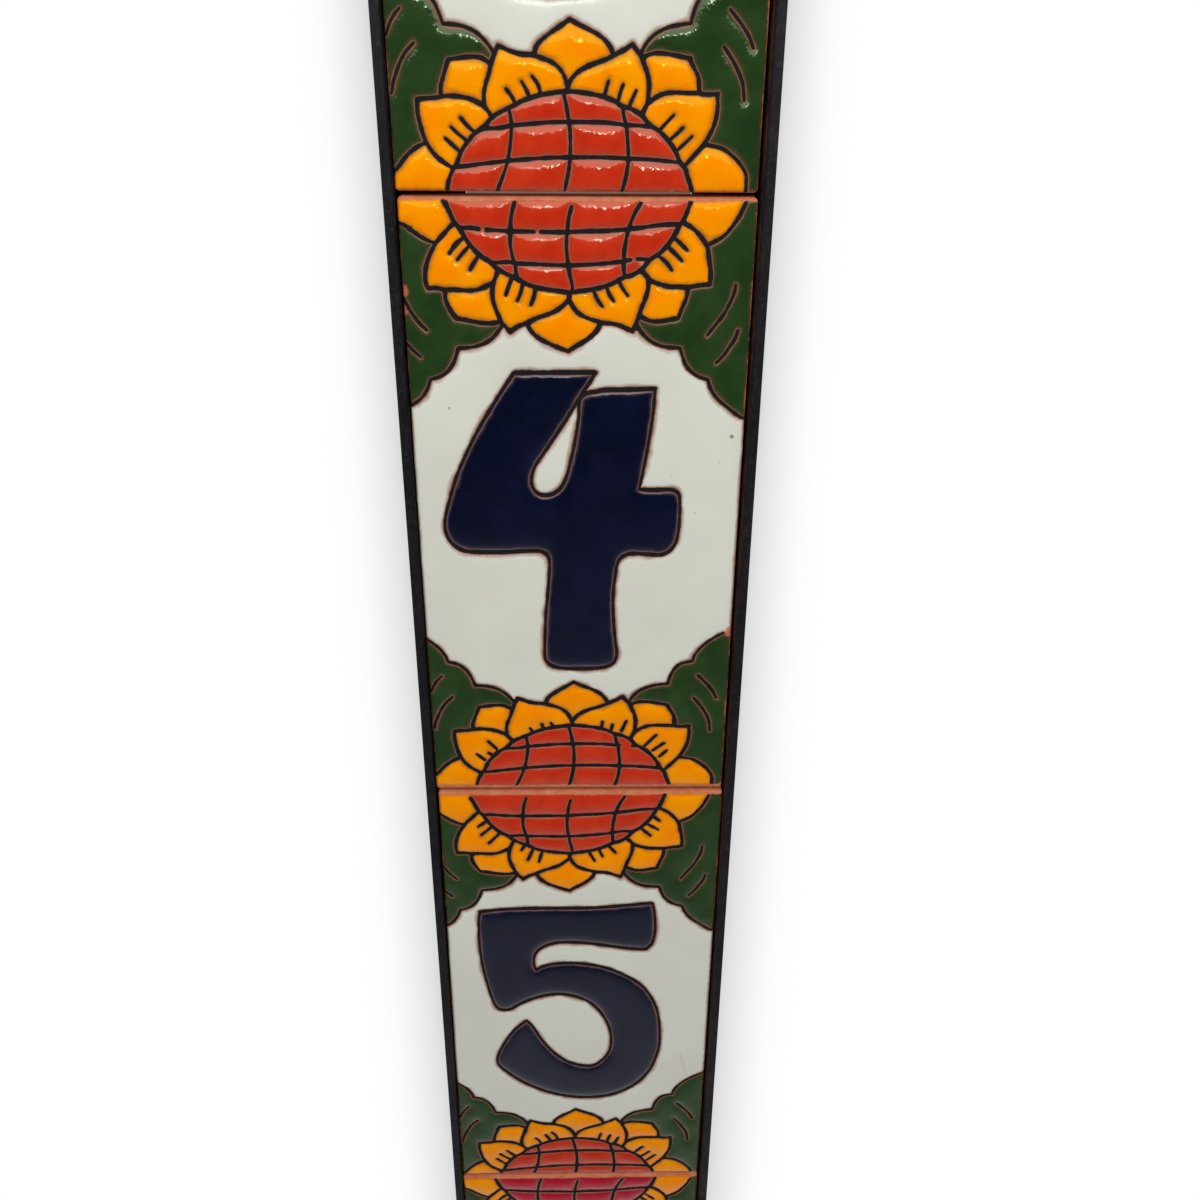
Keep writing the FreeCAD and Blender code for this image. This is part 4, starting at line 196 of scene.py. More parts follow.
LINES_LOW_2 = {
    'disc': (1.15, [(-27.56, -74.8), (-27.29, -72.99), (-26.48, -70.97), (-25.23, -69.04), (-24.29, -66.93), (-22.93, -65.15), (-21.31, -63.42), (-19.23, -62.14), (-17.73, -60.44), (-15.77, -59.32), (-13.59, -58.33), (-11.29, -57.24), (-8.6, -56.4), (-5.97, -55.89), (-2.24, -55.49), (1.2, -55.74), (4.48, -56.29), (7.22, -57.17), (8.82, -58.12), (10.64, -58.61), (12.94, -59.88), (14.53, -61.62), (16.55, -62.85), (18.36, -64.54), (20.03, -66.77), (20.92, -68.7), (22.15, -70.18), (22.63, -71.67), (23.25, -73.31), (23.74, -74.83)]),
    'v1': (0.95, [(-14.17, -58.78), (-13.9, -60.35), (-13.73, -61.94), (-13.98, -64.31), (-14.27, -66.38), (-14.78, -68.67), (-15.56, -70.9), (-16.4, -72.86), (-17.14, -74.58)]),
    'v2': (1, [(-2.93, -56.16), (-2.47, -58.25), (-2.11, -60.34), (-1.8, -62.43), (-1.71, -64.5), (-1.74, -66.59), (-1.9, -69), (-2.21, -71.1), (-2.65, -73), (-3.02, -74.69)]),
    'v3': (1, [(8.98, -58.03), (9.29, -60.1), (9.83, -61.91), (10.05, -64.03), (10.24, -66.11), (10.29, -68.51), (10.06, -70.8), (9.59, -72.99), (9.03, -74.68)]),
    'h1': (0.95, [(-19.79, -62.49), (-16.5, -62.41), (-13.65, -61.93), (-9.93, -61.59), (-5.97, -61.27), (-1.84, -61.17), (2.59, -61.18), (6.01, -61.29), (9.81, -61.69), (12.42, -61.8), (15.43, -62)]),
    'h2': (0.95, [(-25.9, -69.94), (-23.21, -69.73), (-20.03, -69.29), (-16.55, -68.92), (-14.64, -68.68), (-9.97, -68.31), (-6, -68.05), (-1.85, -67.97), (3.08, -67.93), (7.1, -68.02), (10.46, -68.18), (13.93, -68.3), (17.64, -68.59), (21.44, -69.02)]),
    'p1': (1.1, [(-38.78, -71.41), (-38.25, -70.75), (-37.27, -69.74), (-36.04, -68.26), (-34.5, -66.88), (-32.95, -65.9), (-31.55, -65.33)]),
    'p2a': (1.15, [(-32.7, -57.27), (-32.76, -59.39), (-32.41, -61.7), (-31.8, -64.07), (-30.89, -66.07), (-29.65, -67.68), (-28.26, -68.89), (-26.25, -70.12)]),
    'p2b': (1.15, [(-32.69, -57.1), (-30.99, -56.91), (-28.92, -56.77), (-27.13, -56.48), (-25.17, -56.47), (-23.02, -56.73), (-21.35, -57.22), (-19.8, -57.99), (-18.35, -59.31), (-17.45, -60.52)]),
    'p3': (1.1, [(-27.82, -56.97), (-27.8, -54.86), (-27.23, -53.03), (-26.56, -51.22), (-26.02, -49.8)]),
    'p3b': (1.1, [(-26.05, -49.77), (-24.15, -49.53), (-22.04, -49.28), (-19.83, -49.34), (-18.22, -50.06), (-17.1, -50.92)]),
    'p4a': (1.1, [(-15.94, -47.15), (-16.75, -48.67), (-17.5, -50.61), (-18.01, -52.4), (-18.74, -54.32), (-19.15, -56.16), (-19.06, -58.08), (-18.29, -59.42), (-17.48, -60.52)]),
    'p4b': (1.15, [(-16.12, -47.28), (-15.07, -47.59), (-13.47, -48.24), (-11.39, -48.74), (-9.27, -48.88), (-7.18, -49.49), (-5.31, -50.17), (-3.67, -51.43), (-2.65, -53.1), (-2.13, -54.84), (-2.1, -55.75)]),
    'p5a': (1.15, [(-1.75, -42.51), (-3.5, -43.67), (-5.55, -44.94), (-7.44, -46.32), (-8.46, -47.54), (-8.86, -49.19)]),
    'p5b': (1.15, [(-1.63, -42.52), (-0.08, -43.33), (1.89, -44.18), (4.15, -45.29), (5.8, -46.65), (6.8, -48.26), (6.81, -49.45)]),
    'p6b': (1.15, [(-2.17, -55.56), (-1.84, -53.88), (-0.41, -52.17), (1.63, -50.97), (3.78, -50.18), (5.67, -49.54), (7.35, -48.69), (9.22, -47.83), (10.48, -47.05), (11.33, -46.68)]),
    'p6a': (1.15, [(10.71, -46.73), (11.63, -47.86), (12.61, -48.98), (13.28, -50.64), (13.93, -52.23), (14.28, -54.02), (14.2, -55.86), (13.97, -57.72), (13.18, -59.25), (12.78, -60.04)]),
    'p7b': (1.1, [(12.77, -49.44), (13.77, -48.8), (15.49, -48.39), (17.67, -48.5), (20.06, -48.9), (22.42, -49.35)]),
    'p7': (1.1, [(22.43, -49.71), (23.3, -51.13), (24.13, -52.7), (24.4, -54.52), (24.3, -56.12)]),
    'p8b': (1.15, [(12.93, -60.18), (13.83, -58), (15.61, -56.55), (17.52, -55.76), (19.68, -55.56), (21.81, -55.64), (24.22, -55.71), (26.26, -55.93), (28.36, -55.75)]),
    'p8a': (1.1, [(28.13, -55.9), (28.35, -57.74), (28.2, -59.81), (27.72, -61.9), (26.87, -63.7), (25.93, -65.34), (24.65, -66.8), (23.46, -68.08), (21.83, -69.87)]),
    'p9': (1, [(26.12, -65.46), (27.56, -65.71), (29.72, -66.27), (31.81, -67.68), (33.54, -69.34), (34.83, -71.41), (34.98, -73.6), (35.01, -75.05)]),
    'l1': (1.15, [(-16.79, -48.57), (-17.99, -46.99), (-19.31, -45.62), (-20.74, -44.61), (-22.58, -43.88), (-24.35, -43.56), (-26.64, -43.38)]),
    'l2': (1.1, [(-26.72, -43.43), (-27.25, -41.94), (-28.09, -39.92), (-29.35, -38.3), (-30.96, -37.1), (-33.27, -36.5)]),
    'l3': (1.05, [(-33.27, -36.5), (-33.77, -34.9), (-35.08, -32.8), (-36.69, -31.21), (-38.2, -30.01)]),
    'r1': (1.15, [(12.43, -48.62), (13.44, -46.8), (14.83, -45.34), (16.42, -44.38), (18.17, -43.72), (20.21, -43.33), (22.35, -43.04)]),
    'r2': (1.1, [(22.22, -43.28), (22.53, -42), (23.12, -40.16), (24.03, -38.53), (25.55, -37.18), (28.35, -36.51)]),
    'r3': (1.05, [(28.35, -36.51), (29.05, -34.35), (31.14, -31.69), (33.75, -29.63), (36.15, -28.26), (37.96, -27.47)]),
    's_a1': (1, [(-27.2, -64.2), (-25.1, -66.1)]),
    's_a2': (1, [(-24, -63.9), (-22.6, -64.9)]),
    's_a3': (1, [(-24, -60.3), (-21.8, -62.8)]),
    's_b1': (1, [(-13, -56.3), (-12.5, -57.2)]),
    's_b2': (1, [(-10, -55), (-9.6, -56.4)]),
    's_b3': (1, [(-7.6, -54.7), (-7.05, -55.8)]),
    's_c1': (1, [(5.7, -54.4), (5.5, -56.1)]),
    's_c2': (1, [(8.3, -55.3), (8, -56.9)]),
    's_c3': (1, [(11.9, -54.2), (10.7, -57.2)]),
    's_d1': (1, [(19.7, -58.6), (16.8, -61.9)]),
    's_d2': (1, [(21.8, -61.1), (19, -63.3)]),
    's_d3': (1, [(22.75, -63.3), (20.7, -65.3)]),
    'v_l1': (0.65, [(-32.61, -46.74), (-34.21, -48.23), (-35.53, -50.13), (-36.54, -52.21), (-37.36, -54.3), (-37.76, -56.09)]),
    'v_l2': (0.6, [(-35, -40.56), (-36.32, -41.96), (-37.32, -43.55), (-38.02, -45.35)]),
    'v_r1': (0.65, [(29.09, -47.28), (30.79, -49.46), (32.09, -51.54), (33.09, -53.64), (33.49, -55.53), (33.67, -57.13)]),
    'v_r2': (0.65, [(29.88, -40.6), (31.18, -41.98), (32.59, -43.57), (33.89, -45.34), (34.9, -47.42)]),
}
LINES_LOW_3 = {
    'disc': (1.15, [(-27.05, -78.09), (-26.81, -76.27), (-26.04, -74.24), (-24.83, -72.29), (-23.93, -70.17), (-22.61, -68.36), (-21.03, -66.61), (-18.98, -65.3), (-17.51, -63.57), (-15.57, -62.43), (-13.42, -61.42), (-11.14, -60.29), (-8.46, -59.43), (-5.85, -58.91), (-2.13, -58.47), (1.31, -58.71), (4.59, -59.25), (7.33, -60.11), (8.95, -61.06), (10.76, -61.53), (13.08, -62.78), (14.69, -64.51), (16.73, -65.71), (18.57, -67.37), (20.28, -69.57), (21.19, -71.47), (22.45, -72.92), (22.96, -74.38), (23.61, -76.01), (24.12, -77.5)]),
    'v1': (0.95, [(-13.99, -61.87), (-13.69, -63.46), (-13.48, -65.05), (-13.69, -67.44), (-13.94, -69.53), (-14.4, -71.84), (-15.13, -74.08), (-15.93, -76.05), (-16.64, -77.79)]),
    'v2': (1, [(-2.8, -59.16), (-2.31, -61.26), (-1.92, -63.36), (-1.58, -65.46), (-1.46, -67.55), (-1.46, -69.64), (-1.57, -72.06), (-1.85, -74.15), (-2.26, -76.05), (-2.59, -77.75)]),
    'v3': (1, [(9.1, -60.97), (9.43, -63.04), (10, -64.84), (10.25, -66.96), (10.46, -69.05), (10.55, -71.43), (10.35, -73.71), (9.92, -75.89), (9.38, -77.57)]),
    'h1': (0.95, [(-19.53, -65.66), (-16.24, -65.55), (-13.4, -65.04), (-9.7, -64.67), (-5.76, -64.33), (-1.64, -64.2), (2.77, -64.18), (6.18, -64.26), (9.97, -64.62), (12.58, -64.71), (15.6, -64.88)]),
    'h2': (0.95, [(-25.48, -73.2), (-22.79, -72.96), (-19.63, -72.5), (-16.16, -72.1), (-14.26, -71.85), (-9.61, -71.43), (-5.67, -71.14), (-1.55, -71.02), (3.35, -70.94), (7.36, -70.98), (10.71, -71.1), (14.18, -71.17), (17.9, -71.41), (21.73, -71.77)]),
    'p1': (1.1, [(-38.33, -74.79), (-37.81, -74.12), (-36.85, -73.1), (-35.65, -71.6), (-34.13, -70.2), (-32.6, -69.2), (-31.22, -68.62)]),
    'p2a': (1.15, [(-32.52, -60.52), (-32.54, -62.65), (-32.15, -64.97), (-31.49, -67.35), (-30.54, -69.35), (-29.28, -70.96), (-27.86, -72.16), (-25.83, -73.39)]),
    'p2b': (1.15, [(-32.52, -60.35), (-30.83, -60.14), (-28.76, -59.98), (-26.98, -59.67), (-25.02, -59.64), (-22.86, -59.88), (-21.19, -60.36), (-19.62, -61.12), (-18.16, -62.43), (-17.23, -63.65)]),
    'p3': (1.1, [(-27.65, -60.17), (-27.67, -58.04), (-27.14, -56.2), (-26.5, -54.37), (-25.98, -52.94)]),
    'p3b': (1.1, [(-26.01, -52.91), (-24.12, -52.65), (-22.02, -52.38), (-19.8, -52.41), (-18.18, -53.12), (-17.05, -53.98)]),
    'p4a': (1.1, [(-15.95, -50.16), (-16.74, -51.71), (-17.46, -53.67), (-17.94, -55.47), (-18.63, -57.41), (-19.01, -59.27), (-18.88, -61.21), (-18.09, -62.55), (-17.26, -63.65)]),
    'p4b': (1.15, [(-16.13, -50.3), (-15.08, -50.6), (-13.47, -51.25), (-11.38, -51.73), (-9.25, -51.85), (-7.15, -52.45), (-5.27, -53.13), (-3.62, -54.39), (-2.57, -56.07), (-2.03, -57.82), (-1.99, -58.74)]),
    'p5a': (1.15, [(-1.82, -45.38), (-3.55, -46.57), (-5.59, -47.85), (-7.46, -49.25), (-8.46, -50.49), (-8.84, -52.16)]),
    'p5b': (1.15, [(-1.7, -45.4), (-0.14, -46.2), (1.84, -47.05), (4.12, -48.16), (5.79, -49.52), (6.8, -51.13), (6.83, -52.33)]),
    'p6b': (1.15, [(-2.06, -58.54), (-1.75, -56.85), (-0.35, -55.12), (1.68, -53.9), (3.81, -53.09), (5.69, -52.43), (7.36, -51.57), (9.21, -50.69), (10.46, -49.89), (11.31, -49.51)]),
    'p6a': (1.15, [(10.69, -49.56), (11.62, -50.69), (12.62, -51.82), (13.31, -53.48), (13.97, -55.08), (14.35, -56.88), (14.29, -58.73), (14.08, -60.61), (13.31, -62.15), (12.92, -62.94)]),
    'p7b': (1.1, [(12.79, -52.28), (13.78, -51.63), (15.49, -51.2), (17.67, -51.29), (20.07, -51.66), (22.43, -52.09)]),
    'p7': (1.1, [(22.45, -52.46), (23.34, -53.87), (24.19, -55.45), (24.48, -57.28), (24.4, -58.88)]),
    'p8b': (1.15, [(13.07, -63.08), (13.94, -60.89), (15.71, -59.41), (17.61, -58.6), (19.77, -58.38), (21.9, -58.43), (24.32, -58.47), (26.36, -58.66), (28.46, -58.46)]),
    'p8a': (1.1, [(28.23, -58.61), (28.47, -60.44), (28.36, -62.51), (27.91, -64.6), (27.08, -66.4), (26.18, -68.05), (24.92, -69.52), (23.73, -70.81), (22.13, -72.61)]),
    'p9': (1, [(26.37, -68.17), (27.81, -68.39), (29.99, -68.91), (32.11, -70.27), (33.88, -71.89), (35.2, -73.92), (35.39, -76.1), (35.44, -77.54)]),
    'l1': (1.15, [(-16.78, -51.61), (-18.01, -50.03), (-19.34, -48.67), (-20.79, -47.67), (-22.64, -46.95), (-24.41, -46.65), (-26.7, -46.49)]),
    'l2': (1.1, [(-26.78, -46.54), (-27.33, -45.05), (-28.19, -43.03), (-29.47, -41.42), (-31.08, -40.24), (-33.39, -39.66)]),
    'l3': (1.05, [(-33.39, -39.66), (-33.91, -38.06), (-35.24, -35.97), (-36.86, -34.38), (-38.38, -33.2)]),
    'r1': (1.15, [(12.44, -51.46), (13.43, -49.62), (14.8, -48.13), (16.38, -47.14), (18.13, -46.46), (20.16, -46.05), (22.3, -45.73)]),
    'r2': (1.1, [(22.17, -45.97), (22.47, -44.67), (23.04, -42.8), (23.93, -41.14), (25.43, -39.75), (28.23, -39.03)]),
    'r3': (1.05, [(28.23, -39.03), (28.9, -36.82), (30.98, -34.11), (33.56, -31.99), (35.95, -30.57), (37.75, -29.76)]),
    's_a1': (1, [(-27.08, -67.67), (-25.76, -68.85), (-24.14, -70.23)]),
    's_a2': (1, [(-25.9, -65.45), (-24.48, -66.74), (-22.46, -68.22)]),
    's_a3': (1, [(-23.82, -63.73), (-22.6, -65.12), (-20.88, -66.6)]),
    's_b1': (1, [(-14.47, -58.24), (-13.45, -59.43), (-12.63, -60.92)]),
    's_b2': (1, [(-11.39, -56.72), (-10.47, -58.2), (-9.64, -59.89)]),
    's_b3': (1, [(-9.29, -55.7), (-8.07, -57.28), (-7.45, -59.27)]),
    's_c1': (1, [(6.18, -56.36), (5.66, -58.15), (5.38, -59.75)]),
    's_c2': (1, [(9.09, -57.12), (8.47, -58.92), (8.09, -60.63)]),
    's_c3': (1, [(11.76, -58.19), (10.88, -60.1), (10.2, -61.5)]),
    's_d1': (1, [(19.62, -62.59), (18.23, -64.01), (16.76, -65.62)]),
    's_d2': (1, [(21.66, -64.96), (20.41, -66.18), (18.68, -67.59)]),
    's_d3': (1, [(23.58, -66.64), (22.28, -67.85), (20.6, -69.36)]),
    'v_l1': (0.65, [(-32.61, -49.93), (-34.19, -51.45), (-35.47, -53.37), (-36.44, -55.47), (-37.23, -57.58), (-37.6, -59.39)]),
    'v_l2': (0.6, [(-35.08, -43.76), (-36.37, -45.18), (-37.35, -46.78), (-38.03, -48.6)]),
    'v_r1': (0.65, [(29.08, -49.92), (30.8, -52.1), (32.13, -54.17), (33.16, -56.26), (33.58, -58.15), (33.8, -59.74)]),
    'v_r2': (0.65, [(29.8, -43.14), (31.12, -44.52), (32.54, -46.11), (33.86, -47.88), (34.89, -49.96)]),
}
DIGIT_3 = [
    [(-20.5, 16.4), (-25.2, 17.6), (-28, 21.4), (-27.4, 26.2), (-23.4, 31.2), (-17, 35.4), (-8.6, 38.2), (1, 38.4), (10.4, 35.6), (17.6, 29.8), (20.4, 22), (18.6, 14), (13.8, 8), (10.6, 4.4), (14.6, 0.8), (20, -5.2), (22.4, -13.2), (21, -22.4), (15.6, -30.6), (7.4, -36.2), (-3.2, -38.6), (-13.8, -37.2), (-22.6, -32.6), (-28.4, -26.2), (-29.6, -21.4), (-26.4, -18), (-21.2, -18.2), (-16.2, -21.6), (-10.4, -25.4), (-3.4, -26.6), (3.4, -24.4), (7.6, -19), (8, -12.2), (4.6, -6.6), (-1.4, -4.2), (-7.6, -3.6), (-10.8, -0.6), (-10.6, 4.4), (-7.4, 7.6), (-1.2, 8.8), (4.2, 11.8), (6.6, 16.8), (5.4, 21.8), (1, 25), (-5, 25.2), (-10.8, 22), (-15.2, 17.8), (-20.5, 16.4)],
]
DIGIT_4 = [
    [(-14.7, 37.77), (3.57, 37.88)],
    [(3.57, 37.88), (2.39, 35.82), (0.97, 33.65), (0.03, 32.13), (-1.74, 29.21), (-3.74, 25.92), (-6.21, 22.13), (-8.62, 18.47), (-10.22, 16.03), (-11.08, 13.82), (-11.32, 11.65), (-10.71, 9.87), (-9.47, 8.75), (-7.91, 8.51), (-6.13, 8.95), (-4.37, 10.48), (-3.04, 13.24), (-2.23, 16.39), (-1.39, 20.08), (-0.66, 24.24), (-0.18, 27.91), (-0.13, 30.24), (0.33, 32.16), (1.98, 33.15), (3.81, 33.46), (5.74, 33.84), (11, 33.92), (17.1, 34.15)],
    [(17.1, 34.15), (16.95, 32.1), (16.73, 28.39), (16.03, 22.6), (15.23, 17.39), (14.53, 13.18), (13.89, 9.99)],
    [(13.89, 9.99), (16.8, 9.75), (19.91, 9.87), (21.98, 9.72), (23.29, 8.64), (23.61, 6.27), (23.67, 3.21), (23.57, 0.02), (23.1, -3.2), (21.85, -5.55), (19.72, -6.82), (16.8, -6.76), (13.6, -6.52), (11.53, -6.69), (9.81, -7.71), (8.94, -9.56), (8.51, -12.61), (8.13, -16.8), (8.11, -21.6), (8.36, -26.29), (8.76, -30.51), (9.17, -33.7), (8.72, -36.08), (7.4, -37.43), (4.66, -38.16), (-0.05, -38.34), (-4.76, -38.14), (-7.26, -37.36), (-8.59, -35.91), (-8.91, -33.71), (-8.7, -28.4), (-8.46, -23.2), (-7.95, -17.89), (-7.51, -12.59), (-7.34, -8.9), (-7.82, -6.94), (-9.48, -5.84), (-12.7, -5.75), (-17.9, -6.05), (-23.2, -6.06), (-27.44, -5.73), (-29.94, -4.36), (-31.51, -2.15), (-32.05, 0.5), (-31.77, 3.18), (-30.45, 7.81), (-28.73, 12.99), (-26.7, 17.65), (-24.01, 23.03), (-20.92, 28.29), (-17.58, 33.5), (-14.7, 37.77)],
]
DIGIT_5 = [
    [(-28.45, 34.35), (-27.2, 34.5), (-25, 34.8), (-21, 35.2), (-16.5, 35.37), (-12.71, 35.46), (3.12, 35.5), (13.69, 36.36), (17.5, 36.8), (20.25, 37.05)],
    [(20.25, 37.05), (20.87, 33.1), (21.18, 27.42), (20.6, 22.84), (19.43, 20.89), (18.31, 20.15), (13.7, 20.44), (8.5, 21.37), (3.18, 22.33), (-2.07, 22.89), (-6.36, 22.83), (-9.66, 21.92), (-12.33, 19.9), (-13.58, 17.44), (-13.61, 14.16), (-12.93, 12.42)],
    [(-12.93, 12.42), (-10.95, 13.85), (-7.28, 14.79), (-2.15, 14.98), (2.98, 14.27), (8.21, 12.65), (13.19, 9.86), (17.44, 6.42), (20.15, 2.47), (22.21, -2.49), (23.18, -7.54), (23.59, -12.61), (23.6, -17.84), (22.68, -23.19), (20.91, -28.41), (17.84, -33.13), (13.63, -36.82), (8.35, -39.18), (2.08, -40.02), (-3.04, -39.6), (-8.35, -38.23), (-13.69, -35.79), (-18.75, -32.43), (-22.72, -28.74), (-24.92, -25.98), (-25.48, -23.71), (-24.86, -20.75), (-22.84, -15.99), (-20.11, -11.44), (-17.26, -8.34), (-16.38, -7.47)],
    [(-16.38, -7.47), (-15.83, -8.04), (-14.28, -10.3), (-12.09, -14.97), (-8.95, -19.92), (-5.29, -23.78), (-1.85, -25.67), (1.58, -26.49), (4.47, -25.86), (7.42, -22.64), (8.82, -18.93), (9.01, -14.69), (8.24, -9.96), (6.32, -5.27), (3.45, -1.22), (-0.15, 1.4), (-4.29, 2.82), (-7.89, 3.03), (-11.7, 2.26), (-15.52, 0.74), (-18.85, -1.27), (-20.87, -2.72), (-23.04, -3.03), (-24.97, -1.88), (-26.36, 2.16), (-27.59, 8.45), (-28.52, 14.75), (-29.07, 21.62), (-29.03, 28.39), (-28.9, 31.6), (-28.45, 34.35)],
]
DIGIT_6 = [
    [(9.6, 38.4), (16.4, 37), (19.6, 32.6), (18, 27.6), (12.4, 25.2), (5.2, 23.6), (-1, 19.6), (-5, 14.6), (-6.4, 10.6)],
    [(-6.4, 10.6), (-1.4, 12.4), (5.6, 12.6), (12.6, 10.2), (18.8, 4.8), (22.8, -3.2), (24.2, -12.6), (22.6, -22.4), (17.6, -31), (9.4, -37), (-1.2, -39.2), (-11.8, -37.2), (-20.4, -31), (-26.4, -21.4), (-29, -9.6), (-28.2, 3.2), (-24, 15.4), (-17, 26), (-8, 34), (1.2, 37.8), (9.6, 38.4)],
    [(-2.6, 0.6), (3, -1.6), (6.8, -6.8), (7.8, -13.4), (6.2, -20.2), (2.2, -25.2), (-3.2, -26.8), (-8.4, -24.2), (-11.8, -18.4), (-12.6, -11.4), (-11, -4.6), (-7.4, -0.2), (-2.6, 0.6)],
]

# Where each coloured field lies, for the upper and lower halves
FIELDS_TOP = [
    ("red", [(15.1, 72.2), (-18.1, 71.8), (-7.4, 71.6), (6, 71.6), (14.2, 65.9), (-18.0, 65.2),
             (1.1, 64.9), (-6.8, 64.8), (11.2, 60.9), (-15.2, 60.7), (1.0, 58.7), (-4.7, 58.6)]),
    ("yellow", [(28.3, 70.9), (-31.6, 70.8), (22.7, 62.0), (-26.9, 61.5), (-13.7, 53.2),
                (9.0, 53.2), (18.1, 53.2), (-22.1, 52.5), (-3.1, 47.6)]),
    ("green", [(29.5, 47.1), (-31.7, 46.3), (33.5, 69.0), (-36.0, 62.0), (36.4, 73.0)]),
]
FIELDS_LOW = [
    ("red", [(-15.4, -61.1), (10.8, -60.7), (0.3, -58.8), (-5.3, -58.9), (-5.2, -65.0), (5.0, -65.0),
             (14.0, -65.5), (-18.9, -66.2), (1.2, -71.6), (-5.7, -71.7), (13.1, -71.8), (-19.0, -72.3)]),
    ("yellow", [(-1.4, -47.9), (17.5, -52.5), (-13.2, -53.4), (-22.3, -53.4), (9.3, -53.5),
                (22.2, -61.4), (-27.0, -62.4), (27.5, -70.6), (-32.5, -70.9)]),
    ("green", [(29.6, -46.6), (-31.5, -47.5), (35.5, -66.0), (-36.0, -66.0)]),
]


# ------------------------------------------------------------------ helpers
def smooth_curve(points, step):
    """Points on a Catmull-Rom curve through the drawn points."""
    p = np.array(points, float)
    if len(p) > 2:
        q = np.vstack([2 * p[0] - p[1], p, 2 * p[-1] - p[-2]])
        out = []
        for i in range(1, len(q) - 2):
            a, b, c, d = q[i - 1], q[i], q[i + 1], q[i + 2]
            n = max(2, int(np.hypot(*(c - b)) / 0.05))
            t = np.linspace(0, 1, n, endpoint=False)[:, None]
            out.append(0.5 * (2 * b + (c - a) * t + (2 * a - 5 * b + 4 * c - d) * t ** 2
                              + (3 * b - a - 3 * c + d) * t ** 3))
        p = np.vstack(out + [p[-1:]])
    seg = np.hypot(*np.diff(p, axis=0).T)
    s = np.r_[0, np.cumsum(seg)]
    n = max(2, int(round(s[-1] / step)) + 1)
    t = np.linspace(0, s[-1], n)
    return np.c_[np.interp(t, s, p[:, 0]), np.interp(t, s, p[:, 1])]


class Waves:
    """Smooth seeded noise of about -1 to 1 from a few sine waves."""

    def __init__(self, seed, size, count=9, dims=2):
        rng = np.random.default_rng(seed)
        k = rng.normal(size=(count, dims))
        k /= np.linalg.norm(k, axis=1)[:, None]
        self.k = k * (2 * math.pi / size) * rng.uniform(0.6, 1.5, (count, 1))
        self.phase = rng.uniform(0, 2 * math.pi, count)

    def __call__(self, *xs):
        out = 0.0
        for k, ph in zip(self.k, self.phase):
            out = out + np.sin(sum(ki * x for ki, x in zip(k, xs)) + ph)
        return out / math.sqrt(len(self.phase)) * 0.8


def outline_depth(u, z):
    """Distance inward from the tile's rounded outline."""
    qx = np.abs(u) - (TILE_W / 2 - CORNER_R)
    qz = np.abs(z) - (TILE_H / 2 - CORNER_R)
    out = np.hypot(np.maximum(qx, 0), np.maximum(qz, 0)) + np.minimum(np.maximum(qx, qz), 0)
    return CORNER_R - out


def bilinear(grid, u, z, u0, z0, step):
    x = np.clip((u - u0) / step, 0, grid.shape[1] - 1.001)
    y = np.clip((z - z0) / step, 0, grid.shape[0] - 1.001)
    i, j = x.astype(int), y.astype(int)
    fx, fy = x - i, y - j
    return (grid[j, i] * (1 - fx) * (1 - fy) + grid[j, i + 1] * fx * (1 - fy)
            + grid[j + 1, i] * (1 - fx) * fy + grid[j + 1, i + 1] * fx * fy)


def in_polygon(p, poly):
    """True for the points inside a closed outline."""
    inside = np.zeros(len(p), bool)
    q = np.asarray(poly)
    for (x0, y0), (x1, y1) in zip(q, np.roll(q, -1, axis=0)):
        if y0 == y1:
            continue
        cross = ((y0 > p[:, 1]) != (y1 > p[:, 1])) & (
            p[:, 0] < (x1 - x0) * (p[:, 1] - y0) / (y1 - y0) + x0)
        inside ^= cross
    return inside


class Thinner:
    """Accepts points that are not too near the ones already taken."""

    def __init__(self, cell=0.25):
        self.cell, self.map, self.pts = cell, {}, []

    def add(self, points, gap):
        c, taken = self.cell, []
        r = int(math.ceil(gap / c))
        g2 = gap * gap
        for u, z in points:
            i, j = int(math.floor(u / c)), int(math.floor(z / c))
            ok = True
            for a in range(i - r, i + r + 1):
                for b in range(j - r, j + r + 1):
                    for q in self.map.get((a, b), ()):
                        if (q[0] - u) ** 2 + (q[1] - z) ** 2 < g2:
                            ok = False
                            break
                    if not ok:
                        break
                if not ok:
                    break
            if ok:
                self.map.setdefault((i, j), []).append((u, z))
                self.pts.append((u, z))
                taken.append(len(self.pts) - 1)
        return taken


def turned(pts, shift, turn, pivot):
    """Points turned about a pivot by some degrees, then shifted."""
    c, s = math.cos(math.radians(turn)), math.sin(math.radians(turn))
    return [(pivot[0] + c * (x - pivot[0]) - s * (y - pivot[1]) + shift[0],
             pivot[1] + s * (x - pivot[0]) + c * (y - pivot[1]) + shift[1]) for x, y in pts]


def moved(lines, shift, turn, pivot):
    """A drawing shifted and turned a little about a pivot."""
    return {k: (w, turned(pts, shift, turn, pivot)) for k, (w, pts) in lines.items()}


# --------------------------------------------------------------- tile maker
# half widths added to each family of lines: disc, cells, petals, leaves, strokes
BOLDER = {"d": 0.12, "v": 0.10, "h": 0.15, "p": 0.10, "l": 0.03, "r": 0.03, "s": 0.08, "n": 0.10}
# how full each glaze lies on the clay, against the red one
FULLNESS = {"line": 1.0, "white": 0.36, "navy": 0.42, "yellow": 0.95, "red": 1.0, "green": 0.62, "bisque": 1.0}
# how soon each glaze reaches that fullness away from a line, against the red one
QUICKNESS = {"line": 1.0, "white": 2.2, "navy": 2.0, "yellow": 1.0, "red": 1.0, "green": 1.4, "bisque": 1.0}
SLOTS = ["line", "white", "navy", "yellow", "red", "green", "bisque"]


